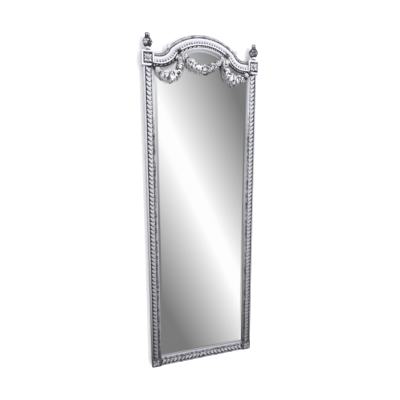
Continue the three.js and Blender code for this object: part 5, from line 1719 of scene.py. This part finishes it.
def room_world():
    world = bpy.data.worlds.new("room")
    world.use_nodes = True
    world.node_tree.nodes.clear()
    graph = Graph(world.node_tree)
    way = graph.node("ShaderNodeTexCoord", output="Generated")
    parts = world.node_tree.nodes.new("ShaderNodeSeparateXYZ")
    graph.feed(parts.inputs[0], way)
    x, y, z = (Wire(graph, socket) for socket in parts.outputs)
    ahead = (0.0 - y).math("MAXIMUM", 0.0 - y, 0.05)
    across, up = x / ahead, z / ahead
    beside = across + up * BAND_SLOPE - BAND_PLACE
    code = 1.0 - (beside.math("ABSOLUTE", beside) - BAND_HALF).clipped() * BAND_FADE
    grey = code.math("MAXIMUM", code, ROOM_GREY)
    level = grey.math("POWER", grey, 2.2)
    band = graph.node("ShaderNodeCombineColor", None, {0: level, 1: level, 2: level})
    ceiling = ((up - CEILING_FROM) * 12.0).clipped()
    towards_left = ((0.0 - across) * 2.2).clipped()
    above = graph.mixed(towards_left, (0.5, 0.54, 0.63, 1), (0.64, 0.68, 0.78, 1))
    room = graph.mixed(ceiling, band, above)
    right_wall = ((across - RIGHT_WALL_FROM) * 6.0).clipped()
    room = graph.mixed(right_wall, room, (0.9, 0.9, 0.92, 1))
    light_path = world.node_tree.nodes.new("ShaderNodeLightPath")
    seen = Wire(graph, light_path.outputs["Is Camera Ray"])
    glossy = Wire(graph, light_path.outputs["Is Glossy Ray"])
    through = Wire(graph, light_path.outputs["Is Transmission Ray"])
    fill = graph.mixed(glossy, (0.51, 0.515, 0.555, 1), room)
    colour = graph.mixed((seen + through).clipped(), fill, (1, 1, 1, 1))
    background = graph.node("ShaderNodeBackground", None, {"Color": colour, "Strength": 1.0})
    graph.node("ShaderNodeOutputWorld", None, {"Surface": background})
    return world


bpy.context.scene.world = room_world()
print("the room is painted")

# %% [markdown]
# ## Wall and floor
#
# Both are white sheets that the camera sees as white, and both keep their shadows. The
# wall is clear from behind, so that the back of the mirror can be looked at.

# %% White sheets
def stage_plane(name, corners, glow_strength, one_sided):
    """A white sheet that is lit and shadowed; a one-sided one is clear from behind."""
    mesh = bpy.data.meshes.new(name)
    mesh.from_pydata(corners, [], [(0, 1, 2, 3)])
    plane = placed(name, mesh)
    material, graph = new_material(name + "_white")
    paper = graph.node("ShaderNodeBsdfDiffuse", None, {"Color": (0.86, 0.86, 0.87, 1)})
    glow = graph.node(
        "ShaderNodeEmission", None, {"Color": (1, 1, 1, 1), "Strength": glow_strength}
    )
    both = graph.node("ShaderNodeAddShader", None, {0: paper, 1: glow})
    if one_sided:
        light_path = material.node_tree.nodes.new("ShaderNodeLightPath")
        seen = Wire(graph, light_path.outputs["Is Camera Ray"])
        behind = graph.node("ShaderNodeNewGeometry", output="Backfacing")
        clear = graph.node("ShaderNodeBsdfTransparent")
        both = graph.node(
            "ShaderNodeMixShader", None, {0: seen * (1.0 - behind), 1: clear, 2: both}
        )
    graph.node("ShaderNodeOutputMaterial", None, {"Surface": both})
    mesh.materials.append(material)
    plane.visible_glossy = False
    return plane


WALL_Y = cad_box[1][1] + 0.5 * MM
FLOOR_Z, WALL_TOP, REACH = -0.42, 5, 6.0
across_and_back = ((-REACH, 0), (REACH, 0), (REACH, 1), (-REACH, 1))
wall = [(x, WALL_Y, WALL_TOP if far else FLOOR_Z) for x, far in across_and_back]
stage_plane("wall", wall, WALL_GLOW, True)
floor = [(x, REACH if far else -REACH, FLOOR_Z) for x, far in across_and_back]
stage_plane("floor", floor, FLOOR_GLOW, False)
print("wall and floor stand")

# %% [markdown]
# ## Lamps
#
# Four soft boxes light the carving: a tall one from the front right, a low one that lifts
# the right stile, one from above for the rail's slope, and a weak one from the left.
# Three are hidden from glossy rays, so that the glass shows the room and no lamp.

# %% Soft boxes
def soft_box(name, place, target, width, height, power, mirrored=True):
    lamp = bpy.data.lights.new(name, "AREA")
    lamp.shape = "RECTANGLE"
    lamp.size, lamp.size_y = width, height
    lamp.energy = power
    box = placed(name, lamp)
    box.location = place
    box.rotation_euler = (Vector(target) - Vector(place)).to_track_quat("-Z", "Y").to_euler()
    box.visible_glossy = mirrored


soft_box("key_light", (2.0, -4.7, 1.75), (0, 0, 1.2), 0.95, 4.4, 108, mirrored=False)
soft_box("right_fill", (1.9, -1.9, 0.75), (0.2, 0, 0.8), 0.6, 1.4, 12, mirrored=False)
soft_box("top_light", (0.3, -2.4, 3.4), (0, 0, 0.0), 1.6, 0.8, 20, mirrored=False)
soft_box("fill_light", (-1.9, -2.7, 0.5), (0, 0, 1.2), 1.4, 1.2, 10)
print("wall, floor and four soft boxes")

# %% [markdown]
# ## Measures and close
#
# The box of the imported model is printed. The dressed mirror may not be larger than the
# imported one.

# %% Close
print("box of the CAD model:", np.round(cad_box, 4).tolist())
